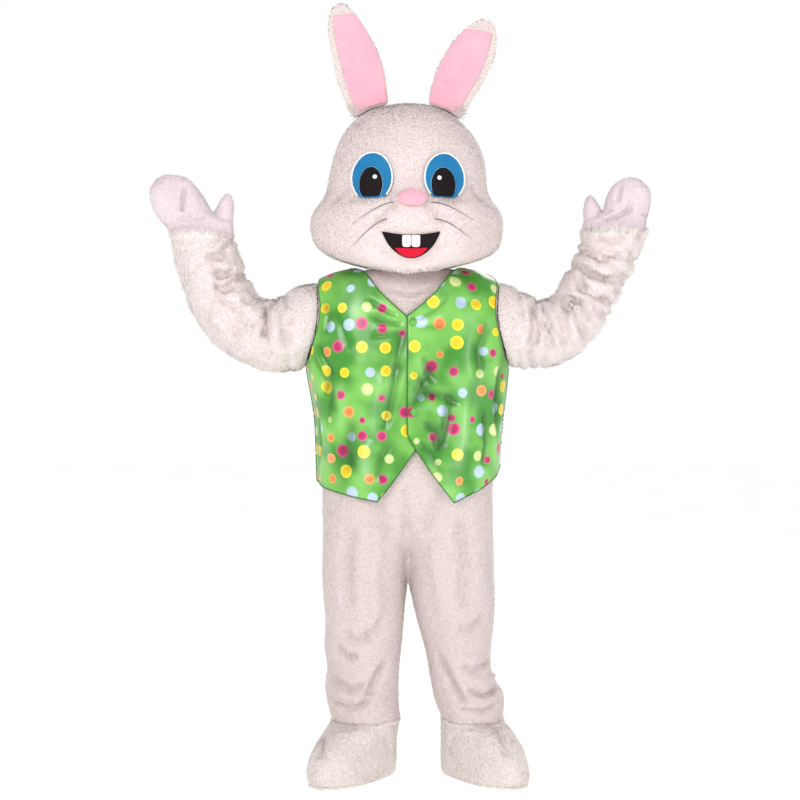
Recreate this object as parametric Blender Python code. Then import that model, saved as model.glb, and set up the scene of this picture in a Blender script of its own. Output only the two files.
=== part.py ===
"""Rabbit mascot costume, worn and hollow: head, plush suit, waistcoat, mittens and foot covers.

The costume faces -Y with +Z up, and +X is the side of the wearer's left hand. Sizes in the tables are
millimetres above the floor. Everything hangs under one empty that puts the wearer's shoulders at the origin.
"""

import math
from typing import NamedTuple

import bpy
import bmesh
from mathutils import Vector
from mathutils.bvhtree import BVHTree

MM = 0.001
HELD_HEIGHT = 1310.0  # the wearer's shoulders above the floor

# Cloth and pads
PLUSH = 6.0  # backing and pile of the suit
HEAD_WALL = 12.0  # foam shell with its plush
SATIN = 2.0
FOOT_WALL = 9.0
SOLE = 7.0
HALF_SEAM = 0.15  # two pieces stay 0.3 mm apart at a seam
SEAT = 0.5  # gap under a piece that rests on another
PATCH_SEAT = 0.9  # gap under a piece on the curved face, measured at its points
FAR = 2500.0  # outside the costume

# How finely the cloth is divided
PANEL_COLUMNS = 8
TUBE_COLUMNS = 16
FOOT_COLUMNS = 22
HEAD_COLUMNS = 18
HEAD_BACK_COLUMNS = 14
VEST_COLUMNS = 8
BACK_VEST_COLUMNS = 16


class Torso(NamedTuple):
    """A level section through the body of the suit."""

    z: float
    right: float
    left: float
    front: float
    back: float
    square: float


TORSO = (
    Torso(150, 233, 236, 118, 120, 2.0),
    Torso(480, 233, 236, 120, 126, 2.0),
    Torso(640, 233, 228, 138, 148, 2.1),
    Torso(782, 229, 229, 158, 160, 2.2),
    Torso(870, 234, 238, 163, 156, 2.4),
    Torso(960, 244, 248, 164, 150, 2.5),
    Torso(1100, 267, 264, 162, 152, 2.6),
    Torso(1180, 267, 265, 158, 150, 2.6),
    Torso(1240, 262, 260, 150, 144, 2.5),
    Torso(1280, 256, 254, 140, 136, 2.4),
    Torso(1305, 243, 242, 128, 126, 2.3),
    Torso(1322, 214, 214, 117, 117, 2.2),
    Torso(1333, 170, 170, 107, 110, 2.1),
    Torso(1343, 118, 118, 98, 100, 2.0),
)


class Leg(NamedTuple):
    """A level section through one trouser leg; outer and inner are distances from the middle line."""

    z: float
    outer: float
    inner: float
    front: float
    back: float


RIGHT_LEG = (
    Leg(150, 209, 17, 100, 100),
    Leg(193, 222, 21, 106, 106),
    Leg(252, 227, 20, 108, 108),
    Leg(284, 216, 18, 105, 106),
    Leg(334, 230, 14, 112, 111),
    Leg(392, 224, 8, 111, 112),
    Leg(480, 233, 2, 118, 120),
    Leg(560, 234, 1, 122, 130),
    Leg(800, 230, 1, 130, 140),
)
LEFT_LEG = (
    Leg(150, 258, 84, 96, 96),
    Leg(188, 262, 67, 106, 104),
    Leg(215, 262, 60, 109, 107),
    Leg(262, 229, 50, 106, 106),
    Leg(320, 226, 42, 110, 110),
    Leg(400, 236, 22, 111, 113),
    Leg(480, 236, 3, 118, 120),
    Leg(560, 233, 1, 122, 130),
    Leg(800, 228, 1, 130, 140),
)
LEG_LEVELS = (150, 172, 195, 218, 242, 268, 298, 335, 385, 435, 480, 520, 570, 630, 710, 800, 920)
CHEST_LEVELS = (1030, 1092, 1106, 1150, 1200, 1248, 1284, 1304, 1323, 1334, 1343)
CROTCH_Z = 500.0
FORK_Z = 800.0  # above this the two legs are one body


class Fold(NamedTuple):
    """A soft ridge (height above 0) or trough across a leg, rising with slope from the outer side inwards."""

    z: float
    slope: float
    width: float
    height: float


RIGHT_LEG_FOLDS = (
    Fold(318, 0.10, 16, -5.0),
    Fold(262, -0.35, 13, -6.0),
    Fold(222, -0.20, 12, 4.0),
    Fold(196, -0.45, 12, -6.0),
)
LEFT_LEG_FOLDS = (
    Fold(330, -0.15, 16, -5.0),
    Fold(282, 0.40, 13, -7.0),
    Fold(240, 0.55, 12, -7.0),
    Fold(204, 0.20, 11, 4.0),
)


LEG_MIDDLE = 130.0
FOLDS_START = (150, 185)  # the folds fade out towards the ankle's edge


class Armhole(NamedTuple):
    """An oval round the shoulder point, seen from the side."""

    height: float
    half_height: float
    half_depth: float


SUIT_ARMHOLE = Armhole(1198, 106, 86)
SLEEVE_HEAD = Armhole(1198, 114, 94)
SLEEVE_SEAT = 2.2  # at the sleeve's points; between them its straight edges come nearer to the suit
SHOULDER_END = 300.0  # nearer the middle than this, a sleeve is held off the suit's body
VEST_ARMHOLE = Armhole(1198, 121, 101)


class Ring(NamedTuple):
    """A section of a sleeve or mitten between two points of its outline, seen from the front."""

    inner_x: float
    inner_z: float
    outer_x: float
    outer_z: float
    y: float
    depth: float


RIGHT_SLEEVE = (
    Ring(-287, 1308, -285, 1071, 0, 98),
    Ring(-321, 1281, -315, 1064, -2, 101),
    Ring(-368, 1262, -387, 1066, -5, 101),
    Ring(-398, 1278, -462, 1094, -9, 103),
    Ring(-414, 1312, -519, 1138, -14, 103),
    Ring(-424, 1339, -560, 1196, -20, 99),
    Ring(-432, 1360, -588, 1256, -27, 95),
    Ring(-440, 1382, -607, 1322, -34, 92),
    Ring(-446, 1400, -621, 1382, -40, 90),
    Ring(-450, 1421, -628, 1428, -46, 86),
)
LEFT_SLEEVE = (
    Ring(285, 1300, 285, 1074, 0, 98),
    Ring(312, 1281, 323, 1070, -2, 101),
    Ring(358, 1261, 384, 1077, -5, 101),
    Ring(384, 1277, 450, 1105, -9, 103),
    Ring(404, 1313, 499, 1153, -14, 102),
    Ring(419, 1345, 536, 1212, -20, 98),
    Ring(430, 1371, 567, 1270, -27, 94),
    Ring(438, 1391, 594, 1325, -34, 91),
    Ring(447, 1410, 614, 1382, -40, 89),
    Ring(453, 1436, 628, 1434, -46, 86),
)


class Lump(NamedTuple):
    """A raised or sunk place on a sleeve: its ring number, the way it faces, its reach and height."""

    along: float
    facing: float
    reach: float
    turn: float
    height: float


RIGHT_SLEEVE_LUMPS = (
    Lump(3.2, 60, 0.8, 50, -7.0),
    Lump(4.4, 120, 0.7, 60, 5.0),
    Lump(5.6, 75, 0.7, 55, -5.0),
    Lump(7.2, 110, 0.7, 60, -4.0),
    Lump(2.0, 250, 0.9, 60, -4.0),
    Lump(6.0, 265, 0.8, 60, -5.0),
)
LEFT_SLEEVE_LUMPS = (
    Lump(3.4, 80, 0.6, 60, -8.0),
    Lump(4.3, 110, 0.6, 55, 5.0),
    Lump(5.2, 85, 0.5, 70, -7.0),
    Lump(6.4, 100, 0.5, 60, -6.0),
    Lump(7.6, 80, 0.6, 60, -4.0),
    Lump(3.0, 260, 0.8, 60, -6.0),
    Lump(6.5, 280, 0.8, 60, -5.0),
)

RIGHT_MITTEN = (
    Ring(-454, 1441, -631, 1447, -48, 50),
    Ring(-458, 1461, -651, 1467, -50, 51),
    Ring(-512, 1488, -667, 1492, -52, 48),
    Ring(-529, 1518, -676, 1522, -54, 45),
    Ring(-547, 1548, -675, 1550, -56, 38),
    Ring(-563, 1567, -662, 1570, -57, 28),
    Ring(-585, 1581, -641, 1583, -58, 14),
)
LEFT_MITTEN = (
    Ring(456, 1449, 624, 1450, -48, 50),
    Ring(459, 1464, 626, 1470, -50, 51),
    Ring(510, 1489, 631, 1492, -53, 49),
    Ring(515, 1520, 636, 1524, -57, 46),
    Ring(527, 1547, 631, 1549, -62, 39),
    Ring(543, 1564, 616, 1563, -66, 28),
    Ring(562, 1575, 600, 1574, -69, 14),
)
RIGHT_THUMB = (
    Ring(-503, 1503, -453, 1484, -52, 27),
    Ring(-491, 1524, -454, 1511, -54, 23),
    Ring(-478, 1538, -461, 1534, -55, 11),
)
LEFT_THUMB = (
    Ring(504, 1503, 455, 1487, -53, 27),
    Ring(492, 1519, 459, 1511, -54, 23),
    Ring(482, 1532, 468, 1529, -55, 11),
)
THUMB_SEAT_RINGS = (1, 2)  # the thumb stands on the mitten's slanted edge between these two rings
THUMB_ROOT_DEPTH = 26.0
THUMB_ROOT_INSET = 0.04
MITTEN_GROOVE_WIDTH = 9.0
MITTEN_GROOVE_DEPTH = 7.0
MITTEN_FULLNESS = 0.8  # 1 would be an oval section, less is fuller at its edges
FULL_GROOVE = 30.0  # where the mitten is shallower than this, its groove is shallower too
MITTEN_PLUSH = 5.0
MITTEN_TIP = 5.0
THUMB_TIP = 4.0
THUMB_COLUMNS = 10
CUFF_TUCK = 18.0  # how far a mitten or foot cover reaches into its sleeve or leg
CUFF_CLEARANCE = 3.0
CUFF_TAPER = 4.0  # the mitten is this much narrower at the tucked end, on each side
CUFF_INSET = PLUSH + CUFF_CLEARANCE + 2
LEDGE_RISE = 0.6  # the ledge outside a tucked cuff rises this much to its edge
LEDGE_INSET = 2.0
LEDGE_DEPTH_INSET = 20.0


class Head(NamedTuple):
    """A level section through the head; droop lowers its front."""

    z: float
    right: float
    left: float
    front: float
    back: float
    droop: float


HEAD = (
    Head(1343.5, 117, 117, 97, 99, 0),
    Head(1356, 165, 165, 150, 150, 26),
    Head(1371, 208, 213, 188, 180, 50),
    Head(1391, 240, 243, 218, 200, 62),
    Head(1418, 257, 252, 238, 212, 56),
    Head(1447, 262, 255, 248, 218, 34),
    Head(1473, 262, 255, 251, 222, 14),
    Head(1495, 252, 245, 246, 224, 3),
    Head(1516, 234, 227, 236, 224, 0),
    Head(1537, 220, 213, 226, 223, 0),
    Head(1577, 212, 209, 217, 220, 0),
    Head(1616, 204, 207, 210, 214, 0),
    Head(1656, 193, 197, 198, 202, 0),
    Head(1701, 173, 170, 174, 180, 0),
    Head(1738, 139, 132, 138, 146, 0),
    Head(1758, 106, 101, 104, 112, 0),
    Head(1770, 72, 71, 70, 78, 0),
    Head(1776, 40, 40, 38, 44, 0),
    Head(1777, 0, 0, 0, 0, 0),
)


NAPE_HALF_WIDTH = 218.0  # the cheeks' extra width fades out towards the back
NAPE_START = 0.8
FACE_EDGE = (0.25, 0.75)  # the face's swellings fade out between these shares of the way to the side


class Bump(NamedTuple):
    """A round swelling of the face towards the front."""

    x: float
    z: float
    half_width: float
    half_height: float
    height: float


FACE_BUMPS = (
    Bump(8, 1480, 62, 36, 20),
    Bump(-150, 1440, 75, 60, 12),
    Bump(158, 1440, 75, 60, 12),
    Bump(0, 1385, 80, 32, -6),
)


class EarRow(NamedTuple):
    """A cross-section of an ear between two points of its outline."""

    inner_x: float
    inner_z: float
    outer_x: float
    outer_z: float
    thick: float


RIGHT_EAR = (
    EarRow(-52, 1822, -177, 1798, 38),
    EarRow(-58, 1868, -193, 1850, 38),
    EarRow(-74, 1916, -206, 1903, 35),
    EarRow(-98, 1960, -213, 1953, 31),
    EarRow(-125, 2003, -214, 1996, 25),
    EarRow(-148, 2030, -206, 2027, 17),
    EarRow(-165, 2042, -192, 2042, 8),
)
LEFT_EAR = (
    EarRow(54, 1812, 174, 1790, 38),
    EarRow(64, 1850, 201, 1828, 38),
    EarRow(82, 1892, 223, 1870, 36),
    EarRow(104, 1930, 236, 1913, 32),
    EarRow(134, 1966, 240, 1951, 26),
    EarRow(165, 1991, 236, 1978, 18),
    EarRow(190, 2003, 222, 1997, 8),
)
EAR_BASES = {"right": EarRow(-46, 0, -146, 0, 40), "left": EarRow(50, 0, 141, 0, 40)}
EAR_LEAN = 10.0  # the ears stand this far behind the crown's middle
EAR_TIP = 4.0
EAR_SEAT = 2.8  # over the crown's points, because its faceted ridges stand higher between them
EAR_FRONT_SHARE = 0.55
EAR_TURNS = (0, 25, 50, 75, 100, 125, 152, 180, 216, 252, 288, 324)
EAR_PANEL_COLUMNS = (2, 7)  # the pink panel lies on these columns of the ear, nearer its inner edge
EAR_PANEL_START = 0.12
EAR_PANEL_END = 0.45
EAR_PANEL_LIFT = 0.9
EAR_INNER_THICK = 3.0


class Patch(NamedTuple):
    """An oval piece on the face, cut off flat at a share of its lower half, with its crown height."""

    x: float
    z: float
    half_width: float
    half_height: float
    flat_below: float
    edge: float
    crown: float


EYES = {"right": Patch(-90, 1560, 51, 66, 0.80, 4, 0), "left": Patch(90, 1560, 50, 64, 0.82, 4, 0)}
PUPILS = {"right": Patch(-94, 1543, 30, 47, 0.68, 2.0, 0), "left": Patch(88, 1542, 31, 46, 0.68, 2.0, 0)}
GLINTS = {"right": Patch(-84, 1563, 6, 6, 1.0, 1.2, 0.4), "left": Patch(78, 1560, 6, 6, 1.0, 1.2, 0.4)}
NOSE = Patch(10, 1505, 36, 20, 1.0, 5, 17)
NOSE_LIFT = 0.8  # these two lie over the muzzle's rounder part, so their points stand further off
MOUTH_LIFT = 0.3
TOOTH_WIDTH = 22.0
TOOTH_TOP_Z = 1414.0
TOOTH_HEIGHT = 29.5
TOOTH_THICK = 4.0
TOOTH_CROWN = 0.8
TOOTH_ROUND = 0.5
TOOTH_SEAM = 0.8
MOUTH_MIDDLE_X = 7.0


class Mouth(NamedTuple):
    """A smile between two arcs: how far it spans and how low each arc's middle hangs under its corners."""

    corner_z: float
    half_width: float
    upper_drop: float
    lower_drop: float


SMILE_FULLNESS = 0.75  # 1 would be a parabola, less is fuller at its corners
MOUTH = Mouth(1424, 74, 9, 67)
MOUTH_THICK = 2.0
TONGUE = Mouth(1383, 42, 1.5, 24)
TONGUE_THICK = 3.0
TONGUE_CROWN = 1.0


class Whisker(NamedTuple):
    """A bristle from its root to its tip, as seen from the front."""

    root_x: float
    root_z: float
    tip_x: float
    tip_z: float


WHISKERS = {
    "whisker_right_upper": Whisker(-36, 1494, -139, 1442),
    "whisker_right_lower": Whisker(-54, 1454, -141, 1388),
    "whisker_left_upper": Whisker(56, 1494, 162, 1454),
    "whisker_left_lower": Whisker(66, 1454, 157, 1409),
}
WHISKER_RADIUS = 1.2
WHISKER_POINTS = 7
WHISKER_RISE = 4.0  # how much further it stands off the cheek away from its root
WHISKER_CLEAR = 0.2
WHISKER_SEAT = 0.8


class VestFront(NamedTuple):
    """Half of the waistcoat's front; x counts from the middle line to the panel's own side."""

    lap: float  # how far the panel reaches past the middle line
    lap_top: float  # the same at the point of the V neck
    side_hem_z: float
    tip_x: float
    tip_z: float
    apex_x: float
    apex_z: float
    lift: float  # how far it lies off the suit at the middle


VEST_FRONTS = {
    "right": VestFront(24, -3, 782, 77, 738, -24, 880, 0.0),
    "left": VestFront(3, 3, 818, 114, 735, -3, 906, 3.6),
}


class NeckPoint(NamedTuple):
    """Half width of the waistcoat's neck at a height."""

    z: float
    x: float


VEST_NECK = (
    NeckPoint(1216, 12),
    NeckPoint(1245, 41),
    NeckPoint(1270, 68),
    NeckPoint(1300, 92),
    NeckPoint(1320, 107),
    NeckPoint(1330, 117),
    NeckPoint(1337, 134),
)
VEST_LEVELS = (1015, 1077, 1092, 1130, 1175, 1213, 1245, 1275, 1300, 1314, 1324, 1331, 1337)
VEST_HEM_ROWS = 5
VEST_TIP_COLUMNS = 3  # columns between the hem's point and the front edge
HEM_SWEEP = 1.15  # 1 would be a straight hem, more hangs lower near the side
POINT_SWEEP = 1.1
LAP_END_Z = 1180.0  # above this the fronts lap less, up to the point of the neck
VEST_ZONE_TOP = 960.0
VEST_GAP = 2.6
VEST_FLARE = 8.0  # how much further the hem stands off the suit
FLARE_FADE = (790.0, 960.0)
LAP_FADE = (70.0, 140.0)  # the upper front's lift fades out between these distances from the middle
BACK_HEM_Z = 792.0
BACK_HEM_SHARES = (0, 0.2, 0.4, 0.7)
BUTTON_RADIUS = 11.0
BUTTON_EDGE = 2.0
BUTTON_CROWN = 3.0
BUTTONS = {"button_upper": (12, 1198), "button_lower": (16, 968)}


class Foot(NamedTuple):
    """Where a foot cover stands and which way it points (degrees from straight ahead, towards -X)."""

    x: float
    y: float
    turn: float


FEET = {"right": Foot(-125, 0, 29), "left": Foot(180, 4, -28)}
FOOT_TOE = 238.0
FOOT_HEEL = 104.0
FOOT_HALF_WIDTH = 90.0
FOOT_ROUND = 2.3  # 2 would be an oval, more is squarer


class FootLevel(NamedTuple):
    """A level of the foot cover: its height, its size and how far it has closed in to the ankle."""

    z: float
    size: float
    closed: float


FOOT_LEVELS = (
    FootLevel(7.3, 0.955, 0.0),
    FootLevel(26, 1.0, 0.0),
    FootLevel(56, 1.0, 0.03),
    FootLevel(86, 0.985, 0.13),
    FootLevel(112, 0.98, 0.34),
    FootLevel(131, 0.99, 0.64),
    FootLevel(143, 1.0, 0.9),
    FootLevel(149.4, 1.0, 1.0),
)
FOOT_COLLAR_Z = 172.0  # the foot cover's top inside the leg
ANKLE_INSET = PLUSH + CUFF_CLEARANCE + 1

COLOURS = {
    "plush": ((0.90, 0.84, 0.83), 0.95, 0.0),
    "mitten_plush": ((0.94, 0.88, 0.92), 0.95, 0.0),
    "foot_plush": ((0.86, 0.82, 0.81), 0.95, 0.0),
    "pink_plush": ((0.97, 0.62, 0.70), 0.9, 0.0),
    "blue_felt": ((0.04, 0.32, 0.66), 0.8, 0.0),
    "black_felt": ((0.015, 0.015, 0.02), 0.7, 0.0),
    "white_felt": ((0.93, 0.93, 0.93), 0.7, 0.0),
    "red_felt": ((0.75, 0.06, 0.08), 0.8, 0.0),
    "green_satin": ((0.13, 0.52, 0.08), 0.35, 0.0),
    "bristle": ((0.05, 0.04, 0.05), 0.4, 0.0),
    "sole": ((0.78, 0.75, 0.73), 0.9, 0.0),
}


def clear_scene():
    """Empties the file of the objects it opened with."""
    for thing in list(bpy.data.objects):
        bpy.data.objects.remove(thing, do_unlink=True)


def material(name):
    """The Principled material of this name."""
    found = bpy.data.materials.get(name)
    if found:
        return found
    colour, rough, metal = COLOURS[name]
    made = bpy.data.materials.new(name)
    made.use_nodes = True
    shader = made.node_tree.nodes["Principled BSDF"]
    shader.inputs["Base Color"].default_value = (*colour, 1.0)
    shader.inputs["Roughness"].default_value = rough
    shader.inputs["Metallic"].default_value = metal
    return made


def smooth_step(low, high, value):
    """0 below low, 1 above high, smooth between."""
    share = min(1.0, max(0.0, (value - low) / (high - low)))
    return share * share * (3 - 2 * share)


def read_row(table, z):
    """The table's row at height z, every column on a smooth curve through its rows."""
    if z <= table[0].z:
        return table[0]
    if z >= table[-1].z:
        return table[-1]
    index = max(i for i, row in enumerate(table) if row.z <= z)
    index = min(index, len(table) - 2)
    below, above = table[index], table[index + 1]
    before = table[max(index - 1, 0)]
    after = table[min(index + 2, len(table) - 1)]
    share = (z - below.z) / (above.z - below.z)
    step = above.z - below.z
    values = []
    for column in range(len(below)):
        start, end = below[column], above[column]
        rise = end - start
        slope_in = (end - before[column]) / (above.z - before.z) * step
        slope_out = (after[column] - start) / (after.z - below.z) * step
        if rise * slope_in <= 0:
            slope_in = 0
        if rise * slope_out <= 0:
            slope_out = 0
        slope_in = max(-3 * abs(rise), min(3 * abs(rise), slope_in))
        slope_out = max(-3 * abs(rise), min(3 * abs(rise), slope_out))
        square, cube = share * share, share**3
        values.append(
            start * (2 * cube - 3 * square + 1)
            + slope_in * (cube - 2 * square + share)
            + end * (3 * square - 2 * cube)
            + slope_out * (cube - square)
        )
    return type(below)(*values)


def power_of(value, exponent):
    """The value's power with its sign kept."""
    return math.copysign(abs(value) ** exponent, value)


def torso_point(z, turn, lift=0.0):
    """A point of the suit's body at height z; turn is degrees from the +X side, and -90 is the front."""
    row = read_row(TORSO, z)
    cosine, sine = math.cos(math.radians(turn)), math.sin(math.radians(turn))
    half = row.left if cosine > 0 else row.right
    depth = row.back if sine > 0 else row.front
    return Vector(
        (
            (half + lift) * power_of(cosine, 2 / row.square),
            (depth + lift) * power_of(sine, 2 / row.square),
            z,
        )
    )


def torso_turn(z, x):
    """Degrees from the side to the place on the front that is x from the middle line."""
    row = read_row(TORSO, z)
    half = row.left
    return math.degrees(math.acos(power_of(max(-1.0, min(1.0, x / half)), row.square / 2)))


def torso_reach(y, z, side):
    """How far the suit's body reaches to one side at depth y and height z."""
    row = read_row(TORSO, z)
    half = row.left if side > 0 else row.right
    depth = row.back if y > 0 else row.front
    share = min(1.0, abs(y) / depth)
    return half * (1 - share**row.square) ** (1 / row.square)


def armhole_turn(hole, z, depth, square):
    """Degrees from the side to the armhole's edge at height z, on a section of this depth."""
    share = 1 - ((z - hole.height) / hole.half_height) ** 2
    if share <= 0:
        return 0.0
    y = hole.half_depth * math.sqrt(share)
    return math.degrees(math.asin(min(1.0, y / depth) ** (square / 2)))


def fold_height(folds, x, z):
    """How far the folds of a leg raise its cloth at x and z."""
    height = 0.0
    for fold in folds:
        middle = fold.z + fold.slope * (LEG_MIDDLE - abs(x))
        height += fold.height * math.exp(-(((z - middle) / fold.width) ** 2))
    return height * smooth_step(*FOLDS_START, z)


def leg_point(side, face, z, share):
    """A point of a trouser leg; share runs from 0 to 1 over the panel, as the turn rises."""
    table, folds = (LEFT_LEG, LEFT_LEG_FOLDS) if side > 0 else (RIGHT_LEG, RIGHT_LEG_FOLDS)
    row = read_row(table, z)
    turn = 180 * share + (-180 if face == "front" else 0)
    middle, half = (row.outer + row.inner) / 2, (row.outer - row.inner) / 2
    depth = row.front if face == "front" else row.back
    cosine, sine = math.cos(math.radians(turn)), math.sin(math.radians(turn))
    x = side * middle + half * cosine
    grow = fold_height(folds, x, z) * abs(sine)
    return Vector((x, (depth + grow) * sine, z))


def suit_point(side, face, z, share):
    """A point of one of the suit's four body panels."""
    first = {("right", "front"): -180, ("left", "front"): -90, ("left", "back"): 0, ("right", "back"): 90}
    name = "left" if side > 0 else "right"
    start = first[(name, face)]
    row = read_row(TORSO, z)
    depth = row.front if face == "front" else row.back
    hole = armhole_turn(SUIT_ARMHOLE, z, depth, row.square)
    starts_at_side = (name, face) in (("right", "front"), ("left", "back"))
    turn = start + (hole + (90 - hole) * share if starts_at_side else (90 - hole) * share)
    body = torso_point(z, turn)
    forked = 1 - smooth_step(CROTCH_Z, FORK_Z, z)
    if forked <= 0:
        return body
    return body.lerp(leg_point(side, face, z, share), forked)


def skin_mesh(rows, closed=False):
    """An open sheet through rows of points, its doubled points merged."""
    sheet = bmesh.new()
    grid = [[sheet.verts.new(point) for point in row] for row in rows]
    count = len(grid[0])
    last = count if closed else count - 1
    for low, high in zip(grid, grid[1:]):
        for column in range(last):
            beside = (column + 1) % count
            sheet.faces.new((low[column], low[beside], high[beside], high[column]))
    bmesh.ops.remove_doubles(sheet, verts=sheet.verts, dist=0.02)
    bmesh.ops.dissolve_degenerate(sheet, edges=sheet.edges, dist=0.01)
    return sheet


def face_outwards(sheet):
    """Turns an open sheet's faces away from its hollow."""
    sheet.normal_update()
    centre = sum((v.co for v in sheet.verts), Vector()) / len(sheet.verts)
    lean = sum((v.co - centre).dot(v.normal) for v in sheet.verts)
    if lean < 0:
        bmesh.ops.reverse_faces(sheet, faces=sheet.faces)
        sheet.normal_update()


def give_wall(sheet, thickness, keep=None):
    """Makes a sheet a wall of this thickness, on its hollow side, each point held where keep puts it."""
    face_outwards(sheet)
    outer = list(sheet.verts)
    faces = list(sheet.faces)
    rim = [edge for edge in sheet.edges if edge.is_boundary]
    inner = {v: sheet.verts.new(v.co - v.normal * thickness) for v in outer}
    for face in faces:
        sheet.faces.new([inner[v] for v in reversed(face.verts)])
    for edge in rim:
        first, second = edge.verts
        sheet.faces.new((first, inner[first], inner[second], second))
    if keep:
        for vert in sheet.verts:
            vert.co = keep(vert.co)


def add_piece(name, shape, finish, holder, smooth=50.0):
    """Turns a closed bmesh in millimetres into a named object under the holder."""
    bmesh.ops.remove_doubles(shape, verts=shape.verts, dist=0.01)
    bmesh.ops.triangulate(shape, faces=shape.faces)
    bmesh.ops.dissolve_degenerate(shape, edges=shape.edges, dist=0.005)
    bmesh.ops.recalc_face_normals(shape, faces=shape.faces)
    for vert in shape.verts:
        vert.co *= MM
    mesh = bpy.data.meshes.new(name)
    shape.to_mesh(mesh)
    shape.free()
    mesh.materials.append(material(finish))
    mesh.shade_smooth()
    mesh.set_sharp_from_angle(angle=math.radians(smooth))
    piece = bpy.data.objects.new(name, mesh)
    bpy.context.scene.collection.objects.link(piece)
    piece.parent = holder
    return piece


def seam_keeper(side=0, face=None, floor=0.0, top=HELD_HEIGHT * 2):
    """A function that holds points on their own side of the seams, and within two levels."""

    def keep(point):
        x, y = point.x, point.y
        if side:
            x = side * max(side * x, HALF_SEAM)
        if face == "front":
            y = min(y, -HALF_SEAM)
        elif face == "back":
            y = max(y, HALF_SEAM)
        return Vector((x, y, max(floor, min(top, point.z))))

    return keep


def build_suit(holder):
    """The four body panels of the suit, from neck to ankles."""
    for side, name in ((-1, "right"), (1, "left")):
        for face in ("front", "back"):
            rows = [
                [suit_point(side, face, z, column / PANEL_COLUMNS) for column in range(PANEL_COLUMNS + 1)]
                for z in LEG_LEVELS + CHEST_LEVELS
            ]
            sheet = skin_mesh(rows)
            give_wall(sheet, PLUSH, seam_keeper(side, face, LEG_LEVELS[0], CHEST_LEVELS[-1]))
            add_piece(f"suit_{face}_{name}", sheet, "plush", holder)


def ring_points(ring, columns):
    """Points round a section, from its outer end over the front."""
    inner = Vector((ring.inner_x, ring.y, ring.inner_z))
    outer = Vector((ring.outer_x, ring.y, ring.outer_z))
    middle, half = (inner + outer) / 2, (outer - inner) / 2
    points = []
    for column in range(columns):
        turn = 2 * math.pi * column / columns
        points.append(middle + half * math.cos(turn) + Vector((0, -ring.depth, 0)) * math.sin(turn))
    return points


def lump_height(lumps, along, facing):
    """How far a sleeve's lumps raise its cloth at a ring number and a direction in degrees."""
    height = 0.0
    for lump in lumps:
        turned = (facing - lump.facing + 180) % 360 - 180
        away = ((along - lump.along) / lump.reach) ** 2 + (turned / lump.turn) ** 2
        height += lump.height * math.exp(-away)
    return height


def sleeve_head(side):
    """The sleeve's first section, lying on the suit round the armhole."""
    points = []
    for column in range(TUBE_COLUMNS):
        turn = 2 * math.pi * column / TUBE_COLUMNS
        y = -SLEEVE_HEAD.half_depth * math.sin(turn)
        z = SLEEVE_HEAD.height - SLEEVE_HEAD.half_height * math.cos(turn)
        points.append(Vector((side * (torso_reach(y, z, side) + SLEEVE_SEAT), y, z)))
    return points


def build_sleeves(holder):
    """Both sleeves, from the armhole round the bent elbow to the wrist."""
    for side, name, table, lumps in (
        (-1, "right", RIGHT_SLEEVE, RIGHT_SLEEVE_LUMPS),
        (1, "left", LEFT_SLEEVE, LEFT_SLEEVE_LUMPS),
    ):
        rows = [sleeve_head(side)]
        for number, ring in enumerate(table):
            points = ring_points(ring, TUBE_COLUMNS)
            middle = sum(points, Vector()) / TUBE_COLUMNS
            if 0 < number < len(table) - 1:
                for column, point in enumerate(points):
                    out = (point - middle).normalized()
                    points[column] = point + out * lump_height(lumps, number, 360 * column / TUBE_COLUMNS)
            rows.append(points)

        middle, _, along = cuff_frame(table[-1])

        def keep(point, side=side, middle=middle, along=along):
            if abs(point.x) > SHOULDER_END:
                past = (point - middle).dot(along)
                return point - along * past if past > 0 else point
            reach = torso_reach(point.y, point.z, side) + SLEEVE_SEAT
            return Vector((side * max(side * point.x, reach), point.y, point.z))

        sheet = skin_mesh(rows, closed=True)
        give_wall(sheet, PLUSH, keep)
        add_piece(f"sleeve_{name}", sheet, "plush", holder)


def half_ring(ring, face, columns, groove=0.0):
    """The front or back half of a section, from its outer end to its inner end."""
    inner = Vector((ring.inner_x, ring.y, ring.inner_z))
    outer = Vector((ring.outer_x, ring.y, ring.outer_z))
    middle, half = (inner + outer) / 2, (outer - inner) / 2
    way = -1 if face == "palm" else 1
    points = []
    for column in range(columns + 1):
        turn = math.pi * column / columns
        depth = ring.depth * math.sin(turn) ** MITTEN_FULLNESS
        sideways = half.length * math.cos(turn)
        cut = groove * min(1.0, ring.depth / FULL_GROOVE)
        depth -= cut * math.exp(-((sideways / MITTEN_GROOVE_WIDTH) ** 2))
        points.append(middle + half * math.cos(turn) + Vector((0, way * depth, 0)))
    return points


def cuff_frame(end):
    """The middle of a sleeve's end, the way across it and the way out of it."""
    across = Vector((end.outer_x - end.inner_x, 0, end.outer_z - end.inner_z)).normalized()
    along = Vector((-across.z, 0, across.x))
    if along.z < 0:
        along = -along
    middle = Vector(((end.inner_x + end.outer_x) / 2, end.y, (end.inner_z + end.outer_z) / 2))
    return middle, across, along


def cuff_rings(sleeve):
    """The mitten's part inside the sleeve's end and the ledge just past it."""
    end = sleeve[-1]
    _, across, along = cuff_frame(end)

    def moved(inset, shift, depth_inset):
        return Ring(
            end.inner_x + across.x * inset + along.x * shift,
            end.inner_z + across.z * inset + along.z * shift,
            end.outer_x - across.x * inset + along.x * shift,
            end.outer_z - across.z * inset + along.z * shift,
            end.y,
            end.depth - depth_inset,
        )

    return (
        moved(CUFF_INSET + CUFF_TAPER, -CUFF_TUCK, CUFF_INSET + CUFF_TAPER),
        moved(CUFF_INSET, SEAT, CUFF_INSET),
        moved(LEDGE_INSET, SEAT + LEDGE_RISE, LEDGE_DEPTH_INSET),
    )


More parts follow.
